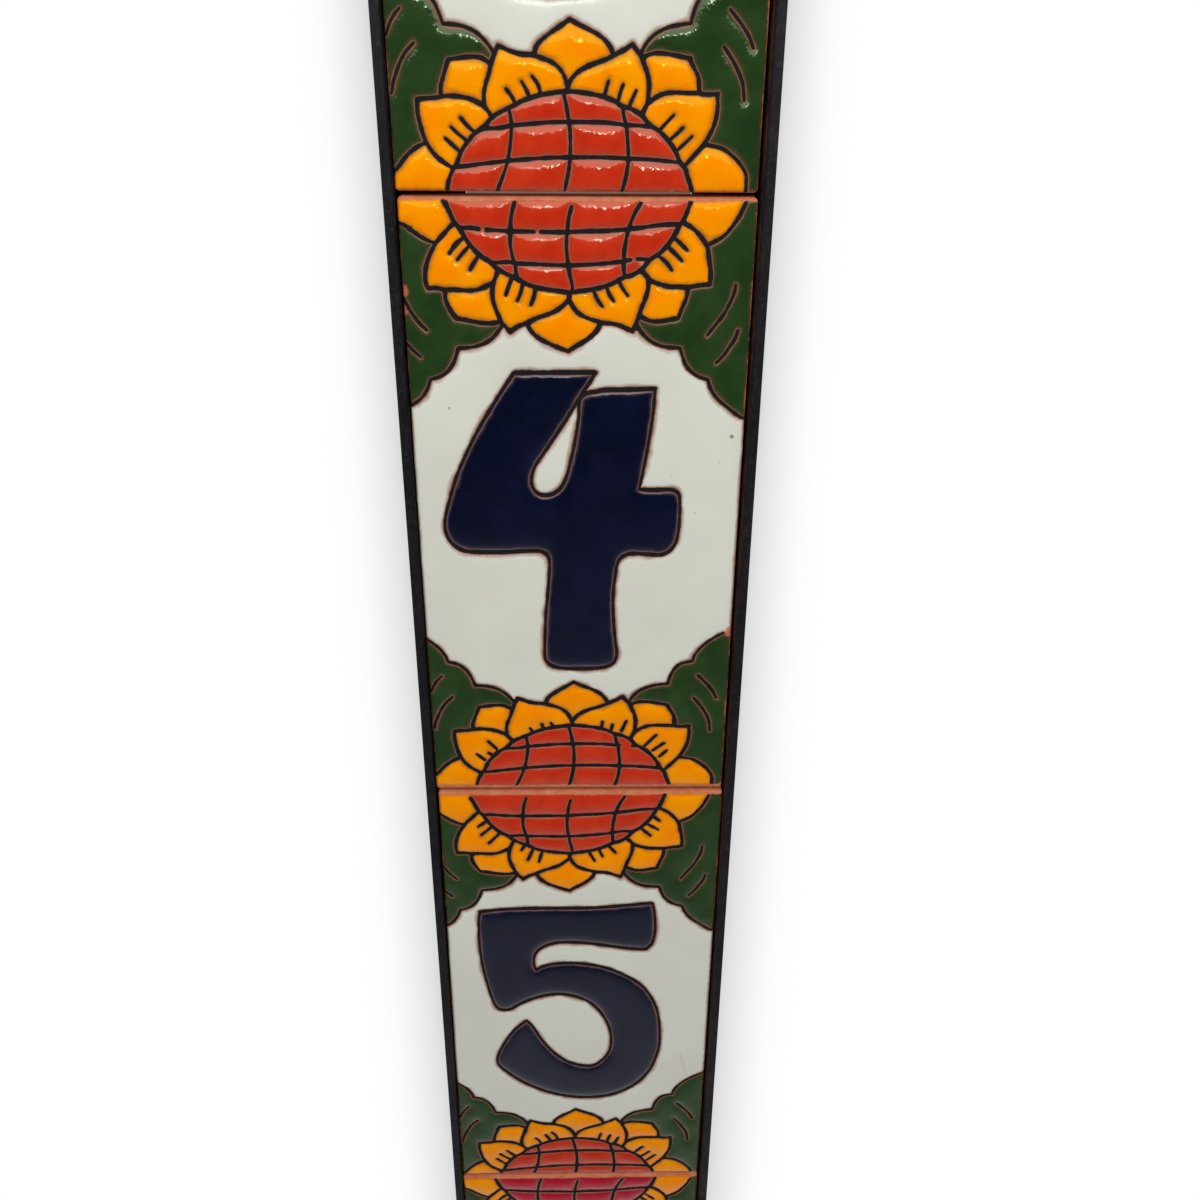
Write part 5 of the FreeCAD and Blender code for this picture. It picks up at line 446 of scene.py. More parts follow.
def make_tile(name, spec, mats):
    rng = np.random.default_rng(spec["seed"])
    slow_w, fast_w = Waves(spec["seed"] + 1, 5.0), Waves(spec["seed"] + 11, 1.5)

    def widths(u, z):
        return slow_w(u, z) + 0.75 * fast_w(u, z)

    shift, height, turn = spec["place"]
    back = (-shift, 0.0), -turn, (0.0, 0.0)     # drawings are given before the tile's own small shift and turn
    lines = []                                  # (points, half widths)
    for half in ("top", "low"):
        for key, (w, pts) in spec[half].items():
            if key in spec.get("skip", ()):
                continue
            pts = turned(pts, *back)
            base = w * (0.36 if not key.startswith("v_") else 0.52)
            base += BOLDER.get("n" if key.startswith("v_") else key[0], 0.0) + spec.get("bold", 0.0)
            c = smooth_curve(pts, 0.06)
            hw = base * (1 + 0.13 * widths(c[:, 0], c[:, 1]))
            if key.startswith(("s_", "v_")):
                t = np.linspace(0, 1, len(c))
                hw = hw * (0.88 + 0.12 * np.sin(np.pi * np.clip(t, 0, 1)) ** 0.5)
            lines.append((key, c, hw))
    for pts in spec["digit"]:
        c = smooth_curve(turned(pts, *back), 0.06)
        t = np.gradient(c, axis=0)
        flat = t[:, 0] ** 2 / np.maximum((t ** 2).sum(1), 1e-12)       # level strokes are a little broader
        lines.append(("digit", c, (0.405 + 0.185 * flat) * (1 + 0.10 * widths(c[:, 0], c[:, 1]))))

    # ends that run a little past the line they meet are cut back to it
    every = [(i, x, y) for i, (_, c, _) in enumerate(lines) for x, y in c]
    near = kdtree.KDTree(len(every))
    for j, (_, x, y) in enumerate(every):
        near.insert((x, y, 0.0), j)
    near.balance()
    for i, (key, c, hw) in enumerate(lines):
        if key == "digit":
            continue
        ends = [0, 0]
        for side in (0, 1):
            best, found = 0.07, None
            for k in range(0, min(21, len(c) // 3)):
                x, y = c[-1 - k] if side else c[k]
                for _, j, dist in near.find_range((x, y, 0.0), 0.07):
                    if every[j][0] != i and dist < best:
                        best, found = dist, k
                if found is not None and k >= found + 2:
                    break
            ends[side] = found or 0
        lines[i] = (key, c[ends[0]:len(c) - ends[1]], hw[ends[0]:len(c) - ends[1]])

    cut = []
    for key, c, hw in lines:
        keep = np.ones(len(c), bool)
        for gk, gu, gz, gr in spec.get("gaps", ()):
            if gk == key:
                keep &= np.hypot(c[:, 0] - gu, c[:, 1] - gz) > gr
        edges = np.flatnonzero(np.diff(keep.astype(int)))
        for part in np.split(np.arange(len(c)), edges + 1):
            if len(part) > 3 and keep[part[0]]:
                cut.append((c[part], hw[part]))
    lines = cut

    # unseen seams that carry a line on from its end to the tile's edge
    seams = []
    for c, hw in lines:
        for end, nxt in ((0, 8), (-1, -9)):
            if len(c) < 12:
                continue
            p0 = c[end]
            v = p0 - c[nxt]
            v = v / max(np.hypot(*v), 1e-9)
            d0 = outline_depth(p0[0], p0[1])
            p1 = p0 + v * 0.5
            if d0 < 4.2 and outline_depth(p1[0], p1[1]) < d0 - 0.15:
                n = 2
                while outline_depth(*(p0 + v * 0.25 * n)) > -0.3 and n < 40:
                    n += 1
                seams.append(p0 + v * (0.25 * np.arange(n + 1))[:, None])
    seam_pts = np.vstack(seams) if seams else np.zeros((0, 2))
    seam_tree = kdtree.KDTree(max(len(seam_pts), 1))
    for i, (x, y) in enumerate(seam_pts):
        seam_tree.insert((x, y, 0.0), i)
    if not len(seam_pts):
        seam_tree.insert((1e3, 1e3, 0.0), 0)
    seam_tree.balance()

    samples = np.vstack([c for c, hw in lines])
    half_w = np.concatenate([hw for c, hw in lines])
    tree = kdtree.KDTree(len(samples))
    for i, (x, y) in enumerate(samples):
        tree.insert((x, y, 0.0), i)
    tree.balance()

    def line_gap(u, z):
        """Distance outward from the edge of the nearest drawn line."""
        find = tree.find
        out = np.empty(len(u))
        for i, (x, y) in enumerate(zip(u.tolist(), z.tolist())):
            _, k, d = find((x, y, 0.0))
            out[i] = d - half_w[k]
        return out

    # glaze thickness: a stretched skin that is held down at lines and rims
    step = 0.2
    gu = np.arange(-TILE_W / 2, TILE_W / 2 + step / 2, step)
    gz = np.arange(-TILE_H / 2, TILE_H / 2 + step / 2, step)
    mu, mz = np.meshgrid(gu, gz)
    e = line_gap(mu.ravel(), mz.ravel()).reshape(mu.shape)
    rim_wave = Waves(spec["seed"] + 2, 2.2)
    rim_slow = Waves(spec["seed"] + 3, 14.0)
    top_rim, low_rim, left_rim, right_rim = spec["rims"]

    def rim_gap(u, z):
        """Distance inward from where the glaze stops along the tile's edge."""
        w = 0.10 * rim_wave(u, z) + spec.get("wander", 0.14) * rim_slow(u, z)
        a = TILE_H / 2 - z - top_rim
        b = TILE_H / 2 + z - low_rim
        c = TILE_W / 2 + u - left_rim
        d = TILE_W / 2 - u - right_rim
        return np.minimum(np.minimum(a, b), np.minimum(c, d)) + w

    g = rim_gap(mu, mz)
    cover = np.clip(0.5 + e / step, 0, 1) * np.clip(0.5 + g / step, 0, 1)
    slow = Waves(spec["seed"] + 4, 16.0)
    mid = Waves(spec["seed"] + 5, 4.5)
    full = spec["glaze"] * (1 + 0.07 * slow(mu, mz) + 0.035 * mid(mu, mz))
    reach = spec.get("reach", 1.7)
    k = (reach / step) ** 2
    h = full * (1 - np.exp(-np.maximum(np.minimum(e, g), 0) / reach))
    denom = 1 + 300 * (1 - cover) + 4 * k
    odd = (np.add.outer(np.arange(h.shape[0]), np.arange(h.shape[1])) % 2).astype(bool)
    for _ in range(70):
        for half in (odd, ~odd):
            p = np.pad(h, 1, mode="edge")
            new = (full * cover + k * (p[:-2, 1:-1] + p[2:, 1:-1] + p[1:-1, :-2] + p[1:-1, 2:])) / denom
            h = np.where(half, h + 1.75 * (new - h), h)

    # points that follow the lines, then the rim, then an even fill
    half_u, half_z = TILE_W / 2, TILE_H / 2
    thin = Thinner()

    def ring(inset, gap):
        r = max(CORNER_R - inset, 0.02)
        a, b = half_u - inset, half_z - inset
        out = []
        for cx, cz, a0 in ((a - r, b - r, 0), (-a + r, b - r, 90), (-a + r, -b + r, 180), (a - r, -b + r, 270)):
            n = max(2, int(round(r * math.pi / 2 / gap))) if r > 0.05 else 1
            for t in (np.linspace(0, 90, n + 1) if n > 1 else [45]):
                ang = math.radians(a0 + t)
                out.append((cx + r * math.cos(ang), cz + r * math.sin(ang)))
        closed = out + [out[0]]
        pts = []
        for (x0, y0), (x1, y1) in zip(closed, closed[1:]):
            n = max(1, int(round(math.hypot(x1 - x0, y1 - y0) / gap)))
            pts += [(x0 + (x1 - x0) * i / n, y0 + (y1 - y0) * i / n) for i in range(n)]
        return pts

    border = ring(0.0, 0.55)
    rim_ids = thin.add(border, 0.12)
    n_border = len(rim_ids)
    for inset, gap in ((0.10, 0.45), (0.30, 0.45), (0.58, 0.5)):
        thin.add(ring(inset, gap), 0.09)

    def inside(p, margin):
        return outline_depth(p[:, 0], p[:, 1]) > margin

    def take(points, want, gap, slack=0.04, margin=0.12):
        if not len(points):
            return
        p = np.asarray(points)
        p = p[inside(p, margin)]
        if want is not None:
            p = p[line_gap(p[:, 0], p[:, 1]) > want - slack]
        thin.add(p.tolist(), gap)

    stations = []
    for c, hw in lines:
        n = max(2, int(round((len(c) - 1) * 0.06 / 0.42)))
        idx = np.unique(np.round(np.linspace(0, len(c) - 1, n + 1)).astype(int))
        t = np.gradient(c, axis=0)
        t /= np.maximum(np.hypot(t[:, 0], t[:, 1]), 1e-9)[:, None]
        stations.append((c[idx], np.c_[-t[idx, 1], t[idx, 0]], hw[idx], t[idx]))
    for c, nrm, hw, t in stations:
        take(c, None, 0.26)
    for o, every, gap in ((0.0, 1, 0.2), (0.17, 1, 0.13), (0.40, 1, 0.17), (0.72, 1, 0.24),
                          (1.12, 1, 0.32), (1.65, 2, 0.45), (2.35, 2, 0.6)):
        pts = []
        for c, nrm, hw, t in stations:
            r = (hw + o)[:, None]
            for side in (-1, 1):
                pts += (c + side * nrm * r)[::every].tolist()
            for end, sgn in ((0, -1), (-1, 1)):
                base = math.atan2(t[end, 1] * sgn, t[end, 0] * sgn)
                m = max(3, int(math.pi * r[end, 0] / 0.42))
                for a in np.linspace(-math.pi / 2, math.pi / 2, m):
                    pts.append((c[end, 0] + r[end, 0] * math.cos(base + a),
                                c[end, 1] + r[end, 0] * math.sin(base + a)))
        take(pts, o, gap)
    for inset, gap in ((0.95, 0.6), (1.45, 0.8)):
        take(ring(inset, gap), 0.15, gap * 0.6)
    for c in seams:
        t = np.diff(c, axis=0)[:1] / 0.25
        nrm = np.array([-t[0, 1], t[0, 0]])
        for side in (-0.14, 0.14):
            take(c + nrm * side, None, 0.11)
    fill = []
    s = 1.15
    for r in range(int(TILE_H / (s * 0.866)) + 1):
        zz = -half_z + r * s * 0.866
        for q in range(int(TILE_W / s) + 2):
            fill.append((-half_u + (q + 0.5 * (r % 2)) * s, zz))
    fill = np.array(fill) + rng.normal(scale=0.10, size=(len(fill), 2))
    take(fill, 0.4, 0.62)

    verts = [Vector(p) for p in thin.pts]
    loop = [(rim_ids[i], rim_ids[(i + 1) % n_border]) for i in range(n_border)]
    co, _, faces, *_ = delaunay_2d_cdt(verts, loop, [], 0, 1e-5, False)
    co = np.array([tuple(v) for v in co])
    tris = np.array([f for f in faces if len(f) == 3], int)
    a, b, c3 = co[tris[:, 0]], co[tris[:, 1]], co[tris[:, 2]]
    area = 0.5 * ((b[:, 0] - a[:, 0]) * (c3[:, 1] - a[:, 1]) - (b[:, 1] - a[:, 1]) * (c3[:, 0] - a[:, 0]))
    tris = tris[np.abs(area) > 1e-5]
    used = np.zeros(len(co), bool)
    used[tris.ravel()] = True
    remap = np.cumsum(used) - 1
    co, tris = co[used], remap[tris]
    a, b, c3 = co[tris[:, 0]], co[tris[:, 1]], co[tris[:, 2]]
    mid_p = (a + b + c3) / 3

    # which glaze each closed field holds
    fe = line_gap(mid_p[:, 0], mid_p[:, 1])
    is_line = fe < 0.0
    is_seam = np.array([seam_tree.find((x, y, 0.0))[2] < 0.145 for x, y in mid_p.tolist()]) & ~is_line
    blocked = is_line | is_seam
    label = np.full(len(tris), -1)
    edge_map = {}
    for f, tri in enumerate(tris.tolist()):
        if blocked[f]:
            continue
        for x, y in ((tri[0], tri[1]), (tri[1], tri[2]), (tri[2], tri[0])):
            edge_map.setdefault((x, y) if x < y else (y, x), []).append(f)
    near = [[] for _ in range(len(tris))]
    for fs in edge_map.values():
        if len(fs) == 2:
            near[fs[0]].append(fs[1])
            near[fs[1]].append(fs[0])
    count = 0
    for f in range(len(tris)):
        if blocked[f] or label[f] >= 0:
            continue
        label[f] = count
        queue = [f]
        while queue:
            x = queue.pop()
            for y in near[x]:
                if label[y] < 0:
                    label[y] = count
                    queue.append(y)
        count += 1
    tri_area = np.abs(0.5 * ((b[:, 0] - a[:, 0]) * (c3[:, 1] - a[:, 1])
                             - (b[:, 1] - a[:, 1]) * (c3[:, 0] - a[:, 0])))
    glaze_of = np.full(count, SLOTS.index("white"))
    ftree = kdtree.KDTree(len(mid_p))
    for i, (x, y) in enumerate(mid_p):
        if not blocked[i]:
            ftree.insert((x, y, 0.0), i)
    ftree.balance()
    for f in np.flatnonzero(is_seam):
        label[f] = label[ftree.find((mid_p[f, 0], mid_p[f, 1], 0.0))[1]]
    for half in ("top", "low"):
        for first, colour in (("p", "yellow"), ("d", "red")):
            inside_any = np.zeros(len(mid_p), bool)
            for key, (_, pts) in spec[half].items():
                if key[0] == first:
                    fan = [] if first == "d" else [(-1.0, 75.0 if half == "top" else -75.0)]
                    inside_any |= in_polygon(mid_p, turned(list(pts) + fan, *back))
            part = np.zeros(count)
            ok = ~blocked & inside_any
            np.add.at(part, label[ok], tri_area[ok])
            whole = np.zeros(count)
            np.add.at(whole, label[~blocked], tri_area[~blocked])
            glaze_of[part > 0.6 * np.maximum(whole, 1e-9)] = SLOTS.index(colour)
    for colour, seeds in spec["fields"]:
        for x, y in seeds:
            _, f, _ = ftree.find((x, y, 0.0))
            glaze_of[label[f]] = SLOTS.index(colour)
    areas = np.zeros(count)
    np.add.at(areas, label[~is_line], tri_area[~is_line])
    glaze_of[(areas < 0.6)] = SLOTS.index("line")
    slot = np.where(is_line, SLOTS.index("line"), glaze_of[np.maximum(label, 0)])

    # heights
    ve = line_gap(co[:, 0], co[:, 1])
    vt = outline_depth(co[:, 0], co[:, 1])
    vg = rim_gap(co[:, 0], co[:, 1])
    thick = bilinear(h, co[:, 0], co[:, 1], gu[0], gz[0], step)
    x = np.clip((ve + 0.06) / 0.14, 0, 1)
    full_of = np.array([FULLNESS[k_] * spec.get("fuller", {}).get(k_, 1.0) for k_ in SLOTS])
    quick_of = np.array([QUICKNESS[k_] for k_ in SLOTS])
    sums, hits, quick = np.zeros(len(co)), np.zeros(len(co)), np.zeros(len(co))
    on = slot != SLOTS.index("line")
    for k_ in range(3):
        np.add.at(sums, tris[on, k_], full_of[slot[on]])
        np.add.at(quick, tris[on, k_], quick_of[slot[on]])
        np.add.at(hits, tris[on, k_], 1.0)
    many = np.maximum(hits, 1)
    thick = 1 - (1 - np.clip(thick / 1.15, 0, 1)) ** np.where(hits > 0, quick / many, 1.0)
    thick = 0.035 + 1.15 * thick * x * x * (3 - 2 * x) * np.where(hits > 0, sums / many, 1.0)
    grain = Waves(spec["seed"] + 6, 1.4, 12)
    thick = thick + 0.010 * grain(co[:, 0], co[:, 1]) * np.clip(ve / 0.6, 0, 1)
    rolled = np.clip(EDGE_R - vt, 0, EDGE_R)
    drop = EDGE_R - np.sqrt(np.maximum(EDGE_R ** 2 - rolled ** 2, 0))
    bow = spec.get("bow", 0.12) * ((co[:, 1] / half_z) ** 2 - 0.4)
    y_top = BODY_FRONT_Y + drop + bow - thick

    pos = np.c_[co[:, 0], y_top, co[:, 1]]
    # rim loop of the top sheet, found from the outermost points
    n_top = len(pos)
    bset = {}
    for i in np.flatnonzero(vt < 1e-3):
        bset[i] = math.atan2(co[i, 1] / half_z, co[i, 0] / half_u)
    order = sorted(bset, key=bset.get)
    extra, walls = [], []
    nb = len(order)
    prev = order
    rows = ((0.0, -13.9), (0.0, -12.4), (0.0, -10.6), (0.0, BACK_Y - 0.45), (0.4, BACK_Y))
    rough = Waves(spec["seed"] + 7, 3.0, dims=2)
    for inset, yy in rows:
        idx = []
        for i in order:
            sx = (half_u - inset) / half_u
            sz = (half_z - inset) / half_z
            p = (co[i, 0] * sx, yy, co[i, 1] * sz)
            idx.append(n_top + len(extra))
            extra.append(p)
        for q in range(nb):
            r = (q + 1) % nb
            walls.append((prev[q], prev[r], idx[r]))
            walls.append((prev[q], idx[r], idx[q]))
        prev = idx
    centre = n_top + len(extra)
    extra.append((0.0, BACK_Y, 0.0))
    for q in range(nb):
        walls.append((prev[q], prev[(q + 1) % nb], centre))
    pos = np.vstack([pos, np.array(extra)])
    tri_dir = np.where(((b[:, 0] - a[:, 0]) * (c3[:, 1] - a[:, 1])
                        - (b[:, 1] - a[:, 1]) * (c3[:, 0] - a[:, 0])) > 0, 1, -1)
    tris = np.where(tri_dir[:, None] > 0, tris, tris[:, ::-1])
    all_f = np.vstack([tris, np.array(walls)[:, ::-1]])
    slot = np.r_[slot, np.full(len(walls), SLOTS.index("bisque"))]

    ca, sa = math.cos(math.radians(turn)), math.sin(math.radians(turn))
    x = pos[:, 0] * ca - pos[:, 2] * sa + shift
    z = pos[:, 0] * sa + pos[:, 2] * ca + height
    pos = np.c_[x, pos[:, 1], z] * MM

    mesh = bpy.data.meshes.new(name)
    mesh.vertices.add(len(pos))
    mesh.vertices.foreach_set("co", pos.astype(np.float32).ravel())
    mesh.loops.add(len(all_f) * 3)
    mesh.loops.foreach_set("vertex_index", all_f.astype(np.int32).ravel())
    mesh.polygons.add(len(all_f))
    mesh.polygons.foreach_set("loop_start", np.arange(0, len(all_f) * 3, 3, dtype=np.int32))
    mesh.polygons.foreach_set("material_index", slot.astype(np.int32))
    mesh.update(calc_edges=True)
    mesh.validate()
    smooth = np.ones(len(mesh.polygons), bool)
    mesh.polygons.foreach_set("use_smooth", smooth)
    for key, top, rest in (("gap_mm", ve, -1.0), ("rim_mm", vg, -2.0), ("thick_mm", thick, 0.0)):
        at = mesh.attributes.new(key, "FLOAT", "POINT")
        at.data.foreach_set("value", np.r_[top, np.full(len(pos) - n_top, rest)].astype(np.float32))
    obj = bpy.data.objects.new(name, mesh)
    bpy.context.scene.collection.objects.link(obj)
    for s_ in SLOTS:
        mesh.materials.append(mats[spec.get("paint", {}).get(s_, s_)])
    print(name, "verts", len(pos), "tris", len(all_f), "fields", count,
          "areas", sorted(areas.round(1).tolist())[-4:], "border", nb)
    return obj


# ---------------------------------------------------------------- materials
def srgb(r, g, b):
    """Linear colour from 0-255 display values."""
    out = []
    for v in (r, g, b):
        v = v / 255.0
        out.append(v / 12.92 if v <= 0.04045 else ((v + 0.055) / 1.055) ** 2.4)
    return tuple(out) + (1.0,)


class Graph:
    """A material's node graph with short ways to add to it."""

    def __init__(self, name):
        self.mat = bpy.data.materials.new(name)
        self.mat.use_nodes = True
        self.tree = self.mat.node_tree
        self.tree.nodes.clear()
        self.out = self.add("ShaderNodeOutputMaterial")
        self.bsdf = self.add("ShaderNodeBsdfPrincipled")
        self.link(self.bsdf.outputs[0], self.out.inputs["Surface"])
        self.coords = self.add("ShaderNodeTexCoord").outputs["Object"]

    def add(self, kind, **values):
        n = self.tree.nodes.new(kind)
        for k, v in values.items():
            setattr(n, k, v)
        return n

    def link(self, a, b):
        self.tree.links.new(a, b)

    def put(self, sock, value):
        if hasattr(value, "links"):
            self.link(value, sock)
        else:
            sock.default_value = value

    def attr(self, name):
        return self.add("ShaderNodeAttribute", attribute_name=name).outputs["Fac"]

    def math(self, op, a, b=0.0, clamp=False):
        n = self.add("ShaderNodeMath", operation=op, use_clamp=clamp)
        self.put(n.inputs[0], a)
        self.put(n.inputs[1], b)
        return n.outputs[0]

    def ramp(self, value, lo, hi, a=0.0, b=1.0, kind="SMOOTHSTEP"):
        n = self.add("ShaderNodeMapRange", interpolation_type=kind)
        self.put(n.inputs["Value"], value)
        n.inputs["From Min"].default_value = lo
        n.inputs["From Max"].default_value = hi
        n.inputs["To Min"].default_value = a
        n.inputs["To Max"].default_value = b
        return n.outputs["Result"]

    def noise(self, size_mm, detail=2.0, rough=0.5, distort=0.0, shift=0.0):
        n = self.add("ShaderNodeTexNoise")
        if shift:
            m = self.add("ShaderNodeMapping")
            m.inputs["Location"].default_value = (shift, shift * 0.7, shift * 1.3)
            self.link(self.coords, m.inputs["Vector"])
            self.link(m.outputs[0], n.inputs["Vector"])
        else:
            self.link(self.coords, n.inputs["Vector"])
        n.inputs["Scale"].default_value = 1000.0 / size_mm
        n.inputs["Detail"].default_value = detail
        n.inputs["Roughness"].default_value = rough
        n.inputs["Distortion"].default_value = distort
        return n.outputs["Fac"]

    def cells(self, size_mm, shift=0.0):
        n = self.add("ShaderNodeTexVoronoi")
        m = self.add("ShaderNodeMapping")
        m.inputs["Location"].default_value = (shift, shift, shift)
        self.link(self.coords, m.inputs["Vector"])
        self.link(m.outputs[0], n.inputs["Vector"])
        n.inputs["Scale"].default_value = 1000.0 / size_mm
        return n.outputs["Distance"], n.outputs["Color"]

    def mix(self, f, a, b, kind="MIX"):
        n = self.add("ShaderNodeMix", data_type="RGBA", blend_type=kind)
        self.put(n.inputs[0], f)
        self.put(n.inputs[6], a)
        self.put(n.inputs[7], b)
        return n.outputs[2]

    def bump(self, height, strength, distance_mm, normal=None):
        n = self.add("ShaderNodeBump")
        n.inputs["Strength"].default_value = strength
        n.inputs["Distance"].default_value = distance_mm * MM
        self.link(height, n.inputs["Height"])
        if normal is not None:
            self.link(normal, n.inputs["Normal"])
        return n.outputs[0]

    def finish(self, colour, rough, normal=None, ior=1.5, metallic=0.0, level=0.5):
        self.put(self.bsdf.inputs["Base Color"], colour)
        self.put(self.bsdf.inputs["Roughness"], rough)
        self.bsdf.inputs["IOR"].default_value = ior
        self.bsdf.inputs["Metallic"].default_value = metallic
        self.bsdf.inputs["Specular IOR Level"].default_value = level
        if normal is not None:
            self.link(normal, self.bsdf.inputs["Normal"])
        return self.mat


CLAY = srgb(192, 106, 68)
CLAY_DARK = srgb(120, 62, 38)


def clay_colour(g):
    """Bare fired clay: mottled orange-brown with darker scuffs."""
    a = g.ramp(g.noise(2.6, 4.0, 0.6), 0.32, 0.70)
    c = g.mix(a, CLAY, srgb(206, 126, 92))
    b = g.ramp(g.noise(0.7, 3.0, 0.6, shift=3.1), 0.58, 0.78)
    c = g.mix(g.math("MULTIPLY", b, 0.22), c, CLAY_DARK)
    d = g.ramp(g.noise(6.0, 2.0, 0.5, shift=7.7), 0.58, 0.78)
    return g.mix(g.math("MULTIPLY", d, 0.25), c, srgb(104, 60, 40))


def bisque_material():
    g = Graph("fired_clay")
    c = clay_colour(g)
    n = g.bump(g.noise(0.5, 4.0, 0.65), 0.5, 0.08)
    n = g.bump(g.noise(2.5, 2.0, 0.5, shift=1.0), 0.5, 0.15, n)
    return g.finish(c, 0.82, n, ior=1.45)


def line_material():
    """The dull black line drawn on the clay, worn through in places."""
    g = Graph("line_black")
    rim = g.attr("rim_mm")
    gap = g.attr("gap_mm")
    speck = g.ramp(g.noise(0.55, 3.0, 0.6), 0.62, 0.76)
    c = g.mix(g.math("MULTIPLY", speck, 0.40), srgb(27, 22, 24), srgb(82, 60, 52))
    edge = g.ramp(g.math("ADD", gap, g.math("MULTIPLY", g.noise(0.45, 2.0, shift=2.0), 0.12)), -0.03, 0.08)
    c = g.mix(g.math("MULTIPLY", edge, 0.6), c, srgb(112, 72, 58))
    off = g.ramp(g.math("ADD", rim, g.math("MULTIPLY", g.noise(0.9, 3.0, shift=5.0), 0.5)), -0.20, 0.25)
    c = g.mix(off, clay_colour(g), c)
    n = g.bump(g.noise(0.35, 4.0, 0.7), 0.6, 0.05)
    return g.finish(c, 0.70, n, ior=1.45, level=0.14)


def glaze_material(name, main, other, halo, halo_at, edge, edge_at, mottle=6.0, pool=None,
                   rough=0.11, specks=0.0, speck_colour=(40, 34, 28), ripple=0.35, marks=(), tint=None, orange_peel=0.024):
    """A glossy glaze that thins to the clay beside lines and rims.

    halo/halo_at: tint of the thinning glaze and (start, end) mm from a line.
    edge/edge_at: clay tint right beside the line and where it ends.
    """
    g = Graph(name)
    gap, rim, thick = g.attr("gap_mm"), g.attr("rim_mm"), g.attr("thick_mm")
    m = g.ramp(g.noise(mottle, 3.0, 0.55), 0.32, 0.70)
    c = g.mix(m, srgb(*main), srgb(*other))
    if pool is not None:
        p = g.ramp(thick, pool[1], pool[2])
        c = g.mix(g.math("MULTIPLY", p, pool[3]), c, srgb(*pool[0]))
    wob = g.math("MULTIPLY", g.math("SUBTRACT", g.noise(0.9, 3.0, 0.6, shift=4.0), 0.5), 0.55)
    slow = g.math("MULTIPLY", g.math("SUBTRACT", g.noise(5.0, 1.0, shift=9.0), 0.5), 1.5)
    near = g.math("ADD", gap, g.math("ADD", wob, slow))
    near = g.math("MINIMUM", near, g.math("ADD", g.math("MULTIPLY", rim, 1.2), 0.05))
    c = g.mix(g.ramp(near, halo_at[0], halo_at[1]), srgb(*halo), c)
    uneven = g.math("ADD", g.math("MULTIPLY", wob, 0.45), g.math("MULTIPLY", slow, 0.35))
    c = g.mix(g.ramp(g.math("ADD", gap, uneven), edge_at[0], edge_at[1]),
              srgb(*edge), c)
    if specks:
        d, col = g.cells(specks)
        pick = g.add("ShaderNodeSeparateColor")
        g.link(col, pick.inputs[0])
        size = g.math("MULTIPLY", pick.outputs[0], 0.055)
        hit = g.ramp(g.math("SUBTRACT", d, size), 0.0, 0.012, 1.0, 0.0)
        some = g.ramp(pick.outputs[1], 0.62, 0.64)
        c = g.mix(g.math("MULTIPLY", hit, g.math("MULTIPLY", some, 0.6)), c, srgb(*speck_colour))
    for place, radius, colour, amount in marks:
        v = g.add("ShaderNodeVectorMath", operation="DISTANCE")
        g.link(g.coords, v.inputs[0])
        v.inputs[1].default_value = tuple(x * MM for x in place)
        d = g.math("MULTIPLY", v.outputs["Value"], 1000.0)
        d = g.math("ADD", d, g.math("MULTIPLY", g.noise(0.8, 2.0, shift=6.0), radius * 0.5))
        c = g.mix(g.math("MULTIPLY", g.ramp(d, radius * 0.95, radius * 1.45, 1.0, 0.0), amount), c, srgb(*colour))
    bare = g.ramp(g.math("ADD", rim, wob), -0.10, 0.12)
    c = g.mix(bare, clay_colour(g), c)
    r = g.ramp(g.math("ADD", rim, wob), -0.05, 0.25, 0.8, rough)
    r = g.math("MAXIMUM", r, g.ramp(g.math("ADD", gap, g.math("MULTIPLY", wob, 0.4)), 0.06, 0.52, 0.46, rough))
    n = g.bump(g.noise(3.2, 2.0, 0.5, shift=12.0), ripple, 0.035)
    n = g.bump(g.noise(0.8, 1.0, 0.5, shift=15.0), 1.0, orange_peel * 0.5, n)
    dimple = g.cells(0.68, shift=3.3)[0]
    n = g.bump(g.math("MULTIPLY", dimple, dimple), 1.0, orange_peel, n)
    if tint is not None:
        g.bsdf.inputs["Specular Tint"].default_value = tint + (1.0,)
    return g.finish(c, r, n, ior=1.5, level=0.42)


